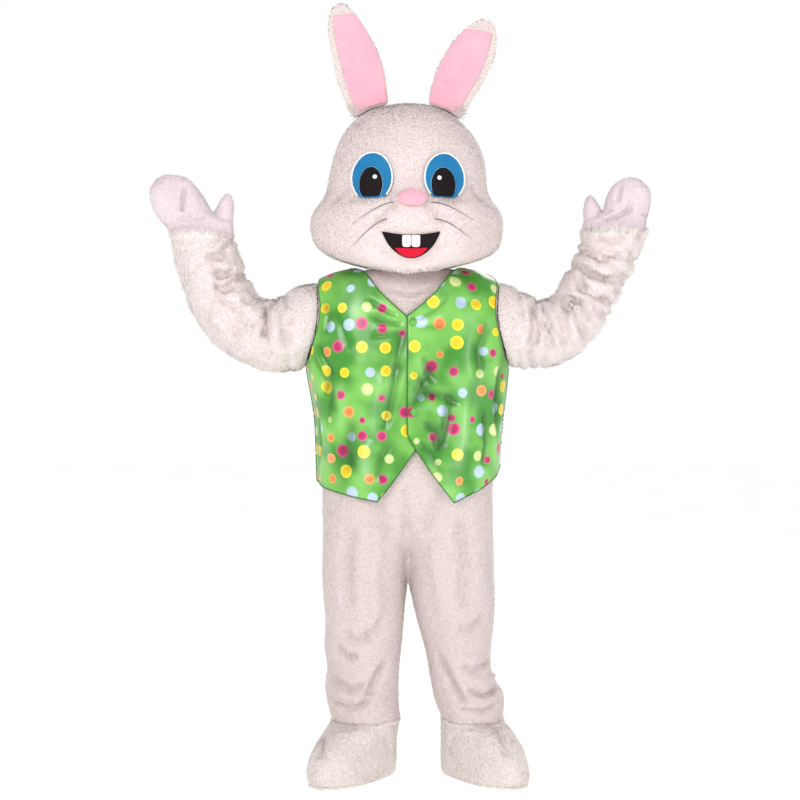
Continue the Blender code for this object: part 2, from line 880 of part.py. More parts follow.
def build_mittens(holder):
    """Both mittens: palm, back and thumb, tucked into the sleeves."""
    for side, name, sleeve, table, thumb in (
        (-1, "right", RIGHT_SLEEVE, RIGHT_MITTEN, RIGHT_THUMB),
        (1, "left", LEFT_SLEEVE, LEFT_MITTEN, LEFT_THUMB),
    ):
        for face in ("palm", "back"):
            rows = [half_ring(ring, face, PANEL_COLUMNS) for ring in cuff_rings(sleeve)]
            for number, ring in enumerate(table):
                groove = MITTEN_GROOVE_DEPTH * smooth_step(2, 4, number)
                rows.append(half_ring(ring, face, PANEL_COLUMNS, groove))
            tip = (rows[-1][0] + rows[-1][-1]) / 2 + Vector((0, 0, MITTEN_TIP))
            rows.append([tip.copy() for _ in rows[-1]])

            def keep(point, face=face, table=table, sleeve=sleeve):
                seam_y = seam_line(point.z, sleeve, table)
                y = min(point.y, seam_y - HALF_SEAM) if face == "palm" else max(point.y, seam_y + HALF_SEAM)
                return Vector((point.x, y, point.z))

            sheet = skin_mesh(rows)
            give_wall(sheet, MITTEN_PLUSH, keep)
            add_piece(f"mitten_{face}_{name}", sheet, "mitten_plush", holder)
        build_thumb(name, table, thumb, holder)


def seam_line(z, sleeve, table):
    """The depth of a mitten's side seam at a height."""
    points = [(sleeve[-1].inner_z - 2 * CUFF_TUCK, sleeve[-1].y)]
    points += [(ring.outer_z, ring.y) for ring in table]
    points.sort()
    if z <= points[0][0]:
        return points[0][1]
    for (low_z, low_y), (high_z, high_y) in zip(points, points[1:]):
        if z <= high_z:
            return low_y + (high_y - low_y) * (z - low_z) / (high_z - low_z)
    return points[-1][1]


def thumb_root(mitten):
    """The thumb's lowest section, just off the mitten's slanted edge."""
    low, high = (mitten[number] for number in THUMB_SEAT_RINGS)
    start = Vector((low.inner_x, low.y, low.inner_z))
    end = Vector((high.inner_x, high.y, high.inner_z))
    along = end - start
    off = Vector((-along.z, 0, along.x)).normalized()
    if off.z < 0:
        off = -off
    start, end = start + along * THUMB_ROOT_INSET + off * SEAT, end - along * THUMB_ROOT_INSET + off * SEAT
    return Ring(end.x, end.z, start.x, start.z, (start.y + end.y) / 2, THUMB_ROOT_DEPTH)


def build_thumb(name, mitten, table, holder):
    """A stuffed thumb that stands on the mitten's edge."""
    rows = [ring_points(ring, THUMB_COLUMNS) for ring in (thumb_root(mitten), *table)]
    top = sum(rows[-1], Vector()) / len(rows[-1]) + Vector((0, 0, THUMB_TIP))
    thumb = skin_mesh(rows + [[top.copy() for _ in rows[-1]]], closed=True)
    bmesh.ops.holes_fill(thumb, edges=[edge for edge in thumb.edges if edge.is_boundary])
    add_piece(f"mitten_thumb_{name}", thumb, "mitten_plush", holder)


def face_bump(x, z):
    """How far the face swells to the front at x and z."""
    height = 0.0
    for bump in FACE_BUMPS:
        across, up = (x - bump.x) / bump.half_width, (z - bump.z) / bump.half_height
        height += bump.height * math.exp(-across * across - up * up)
    return height


def head_point(row, turn):
    """A point of the head on a level section; turn is degrees from the +X side, and -90 is the front."""
    cosine, sine = math.cos(math.radians(turn)), math.sin(math.radians(turn))
    half = row.left if cosine > 0 else row.right
    depth = row.back if sine > 0 else row.front
    half -= max(0.0, half - NAPE_HALF_WIDTH) * smooth_step(0.0, NAPE_START, sine)
    z = row.z - row.droop * max(0.0, -sine) ** 2
    x, y = half * cosine, depth * sine
    if sine < 0:
        y -= face_bump(x, z) * smooth_step(*FACE_EDGE, -sine)
    return Vector((x, y, z))


def build_head(holder):
    """The foam head with its plush: a front and a back half, open at the neck."""
    halves = {}
    for face, start in (("front", -180), ("back", 0)):
        columns = HEAD_COLUMNS if face == "front" else HEAD_BACK_COLUMNS
        turns = [start + 180 * column / columns for column in range(columns + 1)]
        rows = [[head_point(row, turn) for turn in turns] for row in HEAD]
        sheet = skin_mesh(rows)
        give_wall(sheet, HEAD_WALL, seam_keeper(0, face))
        halves[face] = add_piece(f"head_{face}", sheet, "plush", holder, 60.0)
    return halves


def tree_of(*pieces):
    """A search tree over pieces, in millimetres."""
    verts, faces = [], []
    for piece in pieces:
        first = len(verts)
        verts += [vert.co / MM for vert in piece.data.vertices]
        faces += [[first + index for index in face.vertices] for face in piece.data.polygons]
    return BVHTree.FromPolygons(verts, faces)


def seen_from_front(tree, x, z):
    """Where a straight look from the front meets the carrier, and which way it faces there."""
    place, facing, _, _ = tree.ray_cast(Vector((x, -FAR, z)), Vector((0, 1, 0)))
    if place is None:
        raise ValueError(f"nothing carries a piece at {x:.0f}, {z:.0f}")
    if facing.y > 0:
        facing = -facing
    return place, facing


def patch_on(tree, name, finish, outline, crown, edge, rings, holder, lift=0.0):
    """A piece that lies on its carrier: an outline of (x, z) points, filled with rings and crowned."""
    shape = bmesh.new()
    middle = sum((Vector((x, 0, z)) for x, z in outline), Vector()) / len(outline)
    lower, upper = [], []
    for ring in range(rings, 0, -1):
        share = ring / rings
        low_row, high_row = [], []
        for x, z in outline:
            at_x, at_z = middle.x + (x - middle.x) * share, middle.z + (z - middle.z) * share
            place, facing = seen_from_front(tree, at_x, at_z)
            height = edge + crown * math.sqrt(max(0.0, 1 - share * share))
            low_row.append(shape.verts.new(place + facing * (PATCH_SEAT + lift)))
            high_row.append(shape.verts.new(place + facing * (PATCH_SEAT + lift + height)))
        lower.append(low_row)
        upper.append(high_row)
    place, facing = seen_from_front(tree, middle.x, middle.z)
    low_middle = shape.verts.new(place + facing * (PATCH_SEAT + lift))
    high_middle = shape.verts.new(place + facing * (PATCH_SEAT + lift + edge + crown))
    count = len(outline)
    for column in range(count):
        beside = (column + 1) % count
        for outside, inside in zip(upper, upper[1:]):
            shape.faces.new((outside[column], outside[beside], inside[beside], inside[column]))
        for outside, inside in zip(lower, lower[1:]):
            shape.faces.new((outside[beside], outside[column], inside[column], inside[beside]))
        shape.faces.new((upper[-1][column], upper[-1][beside], high_middle))
        shape.faces.new((lower[-1][beside], lower[-1][column], low_middle))
        shape.faces.new((upper[0][beside], upper[0][column], lower[0][column], lower[0][beside]))
    return add_piece(name, shape, finish, holder)


def oval(patch, points):
    """The outline of an oval, its lower part cut off flat."""
    outline = []
    for number in range(points):
        turn = 2 * math.pi * number / points
        up = max(-patch.flat_below, math.sin(turn))
        outline.append((patch.x + patch.half_width * math.cos(turn), patch.z + patch.half_height * up))
    return outline


def smile(mouth, middle_x, points):
    """The outline between a smile's lower arc and upper arc."""
    outline = []
    for number in range(points + 1):
        across = -1 + 2 * number / points
        z = mouth.corner_z - mouth.lower_drop * (1 - across * across) ** SMILE_FULLNESS
        outline.append((middle_x + mouth.half_width * across, z))
    for number in range(points - 1, 0, -1):
        across = -1 + 2 * number / points
        z = mouth.corner_z - mouth.upper_drop * (1 - across * across)
        outline.append((middle_x + mouth.half_width * across, z))
    return outline


def tooth_outline(middle_x):
    """A tooth with a straight top and round lower corners."""
    half = TOOTH_WIDTH / 2
    low = TOOTH_TOP_Z - TOOTH_HEIGHT
    round_off = half * TOOTH_ROUND
    outline = [(middle_x + half, TOOTH_TOP_Z), (middle_x, TOOTH_TOP_Z), (middle_x - half, TOOTH_TOP_Z)]
    for start in (180, 270):
        centre_x = middle_x + (half - round_off) * (-1 if start == 180 else 1)
        for step in (0, 45, 90):
            turn = math.radians(start + step)
            x = centre_x + round_off * math.cos(turn)
            outline.append((x, low + round_off + round_off * math.sin(turn)))
    return outline


def build_face(head, holder):
    """Eyes, nose, mouth with tongue and teeth, and whiskers, each on what carries it."""
    face = tree_of(head["front"])
    for side in ("right", "left"):
        eye = EYES[side]
        blue = patch_on(face, f"eye_blue_{side}", "blue_felt", oval(eye, 24), eye.crown, eye.edge, 3, holder)
        pupil = PUPILS[side]
        on_blue = tree_of(blue)
        black = patch_on(
            on_blue, f"eye_pupil_{side}", "black_felt", oval(pupil, 18), pupil.crown, pupil.edge, 3, holder
        )
        glint = GLINTS[side]
        on_black, spot = tree_of(black), oval(glint, 8)
        patch_on(on_black, f"eye_glint_{side}", "white_felt", spot, glint.crown, glint.edge, 1, holder)
    patch_on(face, "nose", "pink_plush", oval(NOSE, 16), NOSE.crown, NOSE.edge, 3, holder, NOSE_LIFT)
    mouth = patch_on(
        face, "mouth", "black_felt", smile(MOUTH, MOUTH_MIDDLE_X, 12), 0, MOUTH_THICK, 4, holder, MOUTH_LIFT
    )
    on_mouth = tree_of(mouth)
    tongue = smile(TONGUE, MOUTH_MIDDLE_X, 8)
    patch_on(on_mouth, "tongue", "red_felt", tongue, TONGUE_CROWN, TONGUE_THICK, 2, holder)
    for side, shift in (("right", -0.5), ("left", 0.5)):
        middle_x = MOUTH_MIDDLE_X + shift * (TOOTH_WIDTH + TOOTH_SEAM)
        tooth = tooth_outline(middle_x)
        patch_on(on_mouth, f"tooth_{side}", "white_felt", tooth, TOOTH_CROWN, TOOTH_THICK, 2, holder)
    for name, whisker in WHISKERS.items():
        build_whisker(name, whisker, face, holder)


def build_whisker(name, whisker, face, holder):
    """A thin bristle along the cheek, just off its surface."""
    route = []
    for number in range(WHISKER_POINTS):
        share = number / (WHISKER_POINTS - 1)
        x = whisker.root_x + (whisker.tip_x - whisker.root_x) * share
        z = whisker.root_z + (whisker.tip_z - whisker.root_z) * share
        place, facing = seen_from_front(face, x, z)
        rise = WHISKER_RISE * smooth_step(0, WHISKER_CLEAR, share)
        route.append(place + facing * (WHISKER_RADIUS + WHISKER_SEAT + rise))
    rows = []
    for number, place in enumerate(route):
        ahead = route[min(number + 1, len(route) - 1)] - route[max(number - 1, 0)]
        ahead.normalize()
        aside = ahead.cross(Vector((0, 1, 0))).normalized()
        up = aside.cross(ahead)
        turns = [math.radians(turn) for turn in range(0, 360, 72)]
        spokes = [aside * math.cos(turn) + up * math.sin(turn) for turn in turns]
        rows.append([place + spoke * WHISKER_RADIUS for spoke in spokes])
    bristle = skin_mesh(rows, closed=True)
    bmesh.ops.holes_fill(bristle, edges=[edge for edge in bristle.edges if edge.is_boundary])
    add_piece(name, bristle, "bristle", holder)


def ear_point(row, turn):
    """A point on a section of an ear, a flat lens that is shallower in front; turn 0 is the outer edge."""
    inner = Vector((row.inner_x, EAR_LEAN, row.inner_z))
    outer = Vector((row.outer_x, EAR_LEAN, row.outer_z))
    middle, half = (inner + outer) / 2, (outer - inner) / 2
    depth = row.thick / 2 * math.sin(math.radians(turn))
    if depth > 0:
        depth *= EAR_FRONT_SHARE
    return middle + half * math.cos(math.radians(turn)) + Vector((0, -depth, 0))


def build_ears(head, holder):
    """Two padded ears that stand on the crown, each with a pink panel on its front."""
    crown = tree_of(head["front"], head["back"])

    def seated(point):
        place, _, _, _ = crown.ray_cast(Vector((point.x, point.y, FAR)), Vector((0, 0, -1)))
        return place + Vector((0, 0, EAR_SEAT))

    for side, table in (("right", RIGHT_EAR), ("left", LEFT_EAR)):
        base = [ear_point(EAR_BASES[side], turn) for turn in EAR_TURNS]
        middle = sum(base, Vector()) / len(base)
        rows = [[seated(middle)] * len(base), [seated((point + middle) / 2) for point in base]]
        foot = [seated(point) for point in base]
        rows.append(foot)
        sections = [[ear_point(row, turn) for turn in EAR_TURNS] for row in table]
        rows += sections
        rows.append([sum(sections[-1], Vector()) / len(base) + Vector((0, 0, EAR_TIP))] * len(base))
        add_piece(f"ear_{side}", skin_mesh(rows, closed=True), "plush", holder)
        add_ear_panel(side, [foot] + sections, holder)


def add_ear_panel(side, sections, holder):
    """The pink panel on an ear, made from the ear's own points and moved out."""
    first, last = EAR_PANEL_COLUMNS
    low, high = sections[:2]
    start = [below.lerp(above, EAR_PANEL_START) for below, above in zip(low, high)]
    below, above = sections[-3], sections[-2]
    end = [lower.lerp(upper, EAR_PANEL_END) for lower, upper in zip(below, above)]
    rows = []
    for section in [start, *sections[1:-2], end]:
        forward = Vector((0, -EAR_PANEL_LIFT - EAR_INNER_THICK, 0))
        rows.append([point + forward for point in section[first:last]])
    sheet = skin_mesh(rows)
    outer = {vert: sheet.verts.new(vert.co + Vector((0, EAR_INNER_THICK, 0))) for vert in list(sheet.verts)}
    rim = [edge for edge in sheet.edges if edge.is_boundary]
    for face in list(sheet.faces):
        sheet.faces.new([outer[vert] for vert in reversed(face.verts)])
    for edge in rim:
        one, other = edge.verts
        sheet.faces.new((one, outer[one], outer[other], other))
    add_piece(f"ear_inner_{side}", sheet, "pink_plush", holder)


def neck_x(z):
    """Half the width of the waistcoat's neck at height z."""
    return read_row(VEST_NECK, z).x


def front_edge(panel, z):
    """How far a front's free edge is from the middle line at height z, less than 0 beyond it."""
    if z >= VEST_NECK[0].z:
        return neck_x(z)
    return -panel.lap_top if z > LAP_END_Z else -panel.lap


def vest_lift(z, x=0.0, lap_lift=0.0):
    """How far the waistcoat's outer face lies off the suit."""
    flare = VEST_FLARE * (1 - smooth_step(*FLARE_FADE, z))
    return VEST_GAP + SATIN + flare + lap_lift * (1 - smooth_step(*LAP_FADE, abs(x)))


def vest_front_rows(side, panel):
    """The points of one waistcoat front, from hem to shoulder and from side seam to front edge."""
    hem = []
    tip_column = VEST_COLUMNS - VEST_TIP_COLUMNS
    for column in range(VEST_COLUMNS + 1):
        if column <= tip_column:
            share = column / tip_column
            turn = torso_turn(panel.tip_z, panel.tip_x) * share
            z = panel.side_hem_z + (panel.tip_z - panel.side_hem_z) * share**HEM_SWEEP
        else:
            share = (column - tip_column) / (VEST_COLUMNS - tip_column)
            x = panel.tip_x + (panel.apex_x - panel.tip_x) * share
            z = panel.tip_z + (panel.apex_z - panel.tip_z) * share**POINT_SWEEP
            turn = torso_turn(z, x)
        hem.append((turn, z))
    top_turn = torso_turn(VEST_ZONE_TOP, -panel.lap)
    rows = []
    for number in range(VEST_HEM_ROWS):
        share = number / VEST_HEM_ROWS
        row_points = []
        for column, (turn, z) in enumerate(hem):
            even = top_turn * column / VEST_COLUMNS
            at_turn = turn + (even - turn) * share
            at_z = z + (VEST_ZONE_TOP - z) * share
            row_points.append(vest_point(side, at_turn, at_z, panel.lift))
        rows.append(row_points)
    for z in (VEST_ZONE_TOP, *VEST_LEVELS):
        section = read_row(TORSO, z)
        start = armhole_turn(VEST_ARMHOLE, z, section.front, section.square)
        edge = front_edge(panel, z)
        end = torso_turn(z, edge)
        rows.append(
            [
                vest_point(side, start + (end - start) * column / VEST_COLUMNS, z, panel.lift)
                for column in range(VEST_COLUMNS + 1)
            ]
        )
    return rows


def vest_point(side, turn, z, lap_lift):
    """The suit's point under a waistcoat front, turned from the side seam, and the front's lift there."""
    bare = torso_point(z, -turn if side > 0 else turn - 180)
    return bare, vest_lift(z, bare.x, lap_lift)


def raise_off(rows):
    """Moves the waistcoat's points off the suit, along the cloth's own facing."""
    sheet_rows = [[place for place, _ in row] for row in rows]
    count, last = len(sheet_rows), len(sheet_rows[0]) - 1
    raised = []
    for number, row in enumerate(sheet_rows):
        low, high = sheet_rows[max(number - 1, 0)], sheet_rows[min(number + 1, count - 1)]
        out = []
        for column, point in enumerate(row):
            along = row[min(column + 1, last)] - row[max(column - 1, 0)]
            up = high[column] - low[column]
            facing = along.cross(up)
            if facing.length < 1e-6:
                facing = Vector((point.x, point.y, 0))
            facing.normalize()
            if facing.dot(Vector((point.x, point.y, 0))) < 0:
                facing = -facing
            out.append(point + facing * rows[number][column][1])
        raised.append(out)
    return raised


def build_vest(holder):
    """The waistcoat: two fronts that lap at the middle, and a back."""
    fronts = {}
    for side, name in ((-1, "right"), (1, "left")):
        panel = VEST_FRONTS[name]
        rows = raise_off(vest_front_rows(side, panel))
        sheet = skin_mesh(rows)
        give_wall(sheet, SATIN, seam_keeper(0, "front"))
        fronts[name] = add_piece(f"vest_front_{name}", sheet, "green_satin", holder)
    levels = [BACK_HEM_Z + (VEST_ZONE_TOP - BACK_HEM_Z) * share for share in BACK_HEM_SHARES]
    rows = []
    for z in (*levels, VEST_ZONE_TOP, *VEST_LEVELS):
        section = read_row(TORSO, z)
        start = armhole_turn(VEST_ARMHOLE, z, section.back, section.square)
        step = (180 - 2 * start) / BACK_VEST_COLUMNS
        turns = [start + step * column for column in range(BACK_VEST_COLUMNS + 1)]
        hem = 1 - smooth_step(BACK_HEM_Z, VEST_ZONE_TOP, z)
        row = []
        for turn in turns:
            side_z = VEST_FRONTS["left"].side_hem_z if turn < 90 else VEST_FRONTS["right"].side_hem_z
            at_z = z + (side_z - BACK_HEM_Z) * hem * abs(math.cos(math.radians(turn))) ** 2
            place = torso_point(at_z, turn)
            row.append((place, vest_lift(at_z)))
        rows.append(row)
    sheet = skin_mesh(raise_off(rows))
    give_wall(sheet, SATIN, seam_keeper(0, "back"))
    add_piece("vest_back", sheet, "green_satin", holder)
    carrier = tree_of(fronts["left"])
    for name, (x, z) in BUTTONS.items():
        turns = [math.radians(turn) for turn in range(0, 360, 30)]
        outline = [(x + BUTTON_RADIUS * math.cos(turn), z + BUTTON_RADIUS * math.sin(turn)) for turn in turns]
        patch_on(carrier, name, "green_satin", outline, BUTTON_CROWN, BUTTON_EDGE, 2, holder)


def foot_outline(foot, columns):
    """The foot cover's widest outline on the floor plan, as offsets from the ankle's middle."""
    lean = math.radians(foot.turn)
    ahead = Vector((-math.sin(lean), -math.cos(lean), 0))
    aside = Vector((-ahead.y, ahead.x, 0))
    points = []
    for column in range(columns):
        turn = 2 * math.pi * column / columns
        way = Vector((math.cos(turn), math.sin(turn), 0))
        forward, sideways = way.dot(ahead), way.dot(aside)
        length = FOOT_TOE if forward > 0 else FOOT_HEEL
        share = (abs(forward) / length) ** FOOT_ROUND + (abs(sideways) / FOOT_HALF_WIDTH) ** FOOT_ROUND
        points.append(way / share ** (1 / FOOT_ROUND))
    return points


def build_feet(holder):
    """Two foot covers, each a plush upper over a flat sole."""
    for side, name in ((-1, "right"), (1, "left")):
        foot = FEET[name]
        leg = (LEFT_LEG if side > 0 else RIGHT_LEG)[0]
        outline = foot_outline(foot, FOOT_COLUMNS)
        middle = Vector((foot.x, foot.y, 0))
        leg_middle = Vector((side * (leg.outer + leg.inner) / 2, 0, 0))
        half, depth = (leg.outer - leg.inner) / 2, leg.front
        rows = []
        for level in FOOT_LEVELS:
            ledge = ankle_ring(leg_middle, half - LEDGE_INSET, depth - LEDGE_INSET, level.z)
            wide = [middle + point * level.size + Vector((0, 0, level.z)) for point in outline]
            rows.append([place.lerp(close, level.closed) for place, close in zip(wide, ledge)])
        for inset, z in ((ANKLE_INSET, FOOT_LEVELS[-1].z), (ANKLE_INSET + LEDGE_INSET, FOOT_COLLAR_Z)):
            rows.append(ankle_ring(leg_middle, half - inset, depth - inset, z))
        sheet = skin_mesh(rows, closed=True)

        def keep(point):
            return Vector((point.x, point.y, max(point.z, FOOT_LEVELS[0].z)))

        give_wall(sheet, FOOT_WALL, keep)
        add_piece(f"foot_upper_{name}", sheet, "foot_plush", holder)
        add_sole(name, [middle + point * FOOT_LEVELS[0].size for point in outline], holder)


def ankle_ring(middle, half, depth, z):
    """An oval round the ankle."""
    points = []
    for column in range(FOOT_COLUMNS):
        turn = 2 * math.pi * column / FOOT_COLUMNS
        points.append(middle + Vector((half * math.cos(turn), depth * math.sin(turn), z)))
    return points


def add_sole(name, outline, holder):
    """The flat sole under a foot cover."""
    sole = bmesh.new()
    low = [sole.verts.new(point) for point in outline]
    high = [sole.verts.new(point + Vector((0, 0, SOLE))) for point in outline]
    sole.faces.new(low[::-1])
    sole.faces.new(high)
    for column in range(len(outline)):
        beside = (column + 1) % len(outline)
        sole.faces.new((low[column], low[beside], high[beside], high[column]))
    add_piece(f"foot_sole_{name}", sole, "sole", holder)


def main():
    """Builds the costume under one holder."""
    clear_scene()
    holder = bpy.data.objects.new("wearer_shoulders", None)
    bpy.context.scene.collection.objects.link(holder)
    holder.location = (0, 0, -HELD_HEIGHT * MM)
    build_suit(holder)
    build_sleeves(holder)
    build_vest(holder)
    build_mittens(holder)
    build_feet(holder)
    head = build_head(holder)
    build_ears(head, holder)
    build_face(head, holder)


main()
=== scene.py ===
"""The looks of a rabbit mascot costume: plush, satin, felt and their folds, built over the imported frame.

The costume is worn and hollow, faces -Y, and its origin is between the wearer's shoulders. Sizes are in
millimetres and heights count from the floor, until spot() turns them into the frame's metres.
"""

import logging
import math
from collections.abc import Callable, Iterator
from contextlib import contextmanager
from dataclasses import dataclass, replace
from enum import Enum

import bmesh
import bpy
import numpy as np
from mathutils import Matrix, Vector
from mathutils.bvhtree import BVHTree
from mathutils.kdtree import KDTree


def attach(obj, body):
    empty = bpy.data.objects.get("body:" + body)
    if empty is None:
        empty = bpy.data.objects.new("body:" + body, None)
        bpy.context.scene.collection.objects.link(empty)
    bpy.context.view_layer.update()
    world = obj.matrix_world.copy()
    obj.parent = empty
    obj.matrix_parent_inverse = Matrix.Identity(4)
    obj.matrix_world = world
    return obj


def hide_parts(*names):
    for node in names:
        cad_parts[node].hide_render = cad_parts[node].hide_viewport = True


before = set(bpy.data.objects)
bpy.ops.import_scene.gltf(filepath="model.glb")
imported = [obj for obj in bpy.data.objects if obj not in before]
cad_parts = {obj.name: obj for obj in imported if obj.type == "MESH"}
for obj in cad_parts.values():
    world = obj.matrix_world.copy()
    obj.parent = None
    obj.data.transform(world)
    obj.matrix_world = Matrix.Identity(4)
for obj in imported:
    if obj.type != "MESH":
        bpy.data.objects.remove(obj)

Piece = bpy.types.Object
Socket = bpy.types.NodeSocket
Material = bpy.types.Material
Colour = tuple[float, float, float]
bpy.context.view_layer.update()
MM = 0.001
SHOULDERS = 1310.0
BODY = "root"
SAME_POINT = 0.02
SEAM_GAP = 0.6
SEWN = 4.0
FAR = 3000.0
# Fold depth, in millimetres, that counts as 1 in the painted fold shade and highlight.
FOLD_DEPTH = 9.0
log = logging.getLogger("costume")


def spot(x: float, y: float, z: float) -> Vector:
    """A point of the frame, in metres, from millimetres and a height above the floor."""
    return Vector((x, y, z - SHOULDERS)) * MM


def level(above_floor: float) -> float:
    """A height of the frame, in metres, from millimetres above the floor."""
    return (above_floor - SHOULDERS) * MM


def only(piece: Piece) -> None:
    """Selects one piece and makes it the active one."""
    bpy.ops.object.select_all(action="DESELECT")
    piece.select_set(True)
    bpy.context.view_layer.objects.active = piece


@contextmanager
def editing(piece: Piece) -> Iterator[None]:
    """Holds a piece in edit mode, with all of it selected."""
    only(piece)
    bpy.ops.object.mode_set(mode="EDIT")
    bpy.ops.mesh.select_all(action="SELECT")
    yield
    bpy.ops.object.mode_set(mode="OBJECT")


@contextmanager
def shape_of(piece: Piece, changed: bool = True) -> Iterator[bmesh.types.BMesh]:
    """Opens a piece's mesh, and writes it back where it is changed."""
    shape = bmesh.new()
    shape.from_mesh(piece.data)
    yield shape
    if changed:
        shape.to_mesh(piece.data)
    shape.free()


def joined(pieces: list[Piece]) -> Piece:
    """Joins pieces into the first of them."""
    only(pieces[0])
    for piece in pieces[1:]:
        piece.select_set(True)
    if len(pieces) > 1:
        bpy.ops.object.join()
    return pieces[0]


def modify(piece: Piece, kind: str, **settings: object) -> None:
    """Adds a modifier with these settings and applies it."""
    only(piece)
    made = piece.modifiers.new(kind.title(), kind)
    for name, value in settings.items():
        setattr(made, name, value)
    bpy.ops.object.modifier_apply(modifier=made.name)


def points_of(piece: Piece) -> np.ndarray:
    """The piece's points as rows of x, y and z in metres."""
    flat = np.empty(len(piece.data.vertices) * 3, np.float64)
    piece.data.vertices.foreach_get("co", flat)
    return flat.reshape(-1, 3)


def facings_of(piece: Piece) -> np.ndarray:
    """The way each of the piece's points faces."""
    flat = np.empty(len(piece.data.vertices) * 3, np.float32)
    piece.data.vertex_normals.foreach_get("vector", flat)
    return flat.reshape(-1, 3).astype(np.float64)


def put_points(piece: Piece, points: np.ndarray) -> None:
    """Moves the piece's points."""
    piece.data.vertices.foreach_set("co", points.astype(np.float32).ravel())
    piece.data.update()


def ease(low: float, high: float, value: np.ndarray) -> np.ndarray:
    """0 below low, 1 above high, smooth between."""
    share = np.clip((value - low) / (high - low), 0, 1)
    return share * share * (3 - 2 * share)


def tree_of(*pieces: Piece) -> BVHTree:
    """A search tree over several pieces, in metres."""
    verts: list[Vector] = []
    faces: list[tuple[int, ...]] = []
    for piece in pieces:
        first = len(verts)
        verts += [vert.co.copy() for vert in piece.data.vertices]
        faces += [tuple(first + index for index in face.vertices) for face in piece.data.polygons]
    return BVHTree.FromPolygons(verts, faces)


class Graph:
    """A small helper that adds and joins shader nodes."""

    def __init__(self, name: str) -> None:
        """Starts a material of this name with its Principled shader."""
        self.material = bpy.data.materials.new(name)
        self.material.use_nodes = True
        self.tree = self.material.node_tree
        self.shader = self.tree.nodes["Principled BSDF"]

    def add(self, kind: str, **values: object) -> bpy.types.Node:
        """Adds a node.

        Args:
            kind: the node's type without "ShaderNode".
            values: attributes by name, or input values where the name is an input with spaces as underscores.

        Returns:
            The new node.
        """
        made = self.tree.nodes.new("ShaderNode" + kind)
        for name, value in values.items():
            if hasattr(made, name):
                setattr(made, name, value)
            else:
                made.inputs[name.replace("_", " ")].default_value = value
        return made

    def link(self, source: Socket, target: Socket) -> None:
        """Joins an output to an input."""
        self.tree.links.new(source, target)

    def feed(self, target: Socket, value: object) -> None:
        """Joins an output to an input, or sets the input to a value."""
        if isinstance(value, Socket):
            self.link(value, target)
        else:
            target.default_value = value

    def ramp(self, source: Socket, stops: list, constant: bool = False) -> Socket:
        """A colour ramp over a value.

        Args:
            source: the value.
            stops: pairs of place and colour.
            constant: whether a colour holds until the next stop.

        Returns:
            The colour output.
        """
        made = self.add("ValToRGB")
        band = made.color_ramp
        band.interpolation = "CONSTANT" if constant else "EASE"
        while len(band.elements) < len(stops):
            band.elements.new(1.0)
        for element, (place, colour) in zip(band.elements, stops):
            element.position = place
            element.color = (*colour, 1.0)
        self.link(source, made.inputs["Fac"])
        return made.outputs["Color"]

    def mix(self, share: object, first: object, second: object, blend: str = "MIX") -> Socket:
        """Mixes two colours by a share.

        Args:
            share: a value output or a number.
            first: a colour output or a colour.
            second: a colour output or a colour.
            blend: the blend type.

        Returns:
            The colour output.
        """
        made = self.add("Mix", data_type="RGBA", blend_type=blend)
        for value, socket in ((share, 0), (first, 6), (second, 7)):
            self.feed(made.inputs[socket], (*value, 1.0) if isinstance(value, tuple) else value)
        return made.outputs[2]

    def math(self, operation: str, first: object, second: object) -> Socket:
        """Works out a value from two values or numbers."""
        made = self.add("Math", operation=operation)
        for value, socket in ((first, 0), (second, 1)):
            self.feed(made.inputs[socket], value)
        return made.outputs[0]

    def noise(self, where: Socket, **values: float) -> Socket:
        """A noise over these places."""
        made = self.add("TexNoise", **values)
        self.link(where, made.inputs["Vector"])
        return made.outputs["Fac"]

    def scaled(self, value: Socket, **ends: float) -> Socket:
        """A value's share of the way between two ends, clamped."""
        made = self.add("MapRange", **ends)
        self.link(value, made.inputs["Value"])
        return made.outputs["Result"]

    def base(self, colour: Socket) -> None:
        """Gives the shader its colour."""
        self.link(colour, self.shader.inputs["Base Color"])

    def bump(self, height: Socket, strength: float, distance: float) -> None:
        """Gives the shader a bump from a height."""
        made = self.add("Bump", Strength=strength, Distance=distance)
        self.link(height, made.inputs["Height"])
        self.link(made.outputs["Normal"], self.shader.inputs["Normal"])

    def set(self, **values: float) -> None:
        """Sets the shader's own sockets."""
        for name, value in values.items():
            self.shader.inputs[name.replace("_", " ")].default_value = value


@dataclass(frozen=True)
class Plush:
    """A short-pile plush, with painted shade at its tufts' roots, between them and in its folds' troughs, and pale at
    their tips.

    Attributes:
        name: the material's name.
        deep: the painted shade colour at the roots, between the tufts and in the folds' troughs.
        pale: the colour of the tips.
        blush: a second tone in broad soft patches.
    """

    name: str
    deep: Colour
    pale: Colour
    blush: Colour

    def material(self) -> Material:
        """Builds the node material."""
        graph = Graph(self.name)
        where = graph.add("TexCoord").outputs["Object"]
        fine = graph.noise(where, Scale=240.0, Detail=3.0)
        tone = graph.ramp(graph.noise(where, Scale=5.0, Detail=2.0), [(0.35, self.pale), (0.7, self.blush)])
        # Painted shade: a low "pile" value at tufts' roots, on the bare sheet and in fold troughs mixes in the deep
        # colour.
        painted_tuft_shade = graph.add("Attribute", attribute_name="pile")
        share = graph.math("ADD", painted_tuft_shade.outputs["Fac"], graph.math("MULTIPLY", fine, 0.6))
        share.node.use_clamp = True
        graph.base(graph.mix(share, self.deep, tone))
        graph.bump(fine, 0.35, 0.002)
        graph.set(Roughness=0.95, Sheen_Weight=0.15, Sheen_Roughness=0.6, Specular_IOR_Level=0.1)
        return graph.material


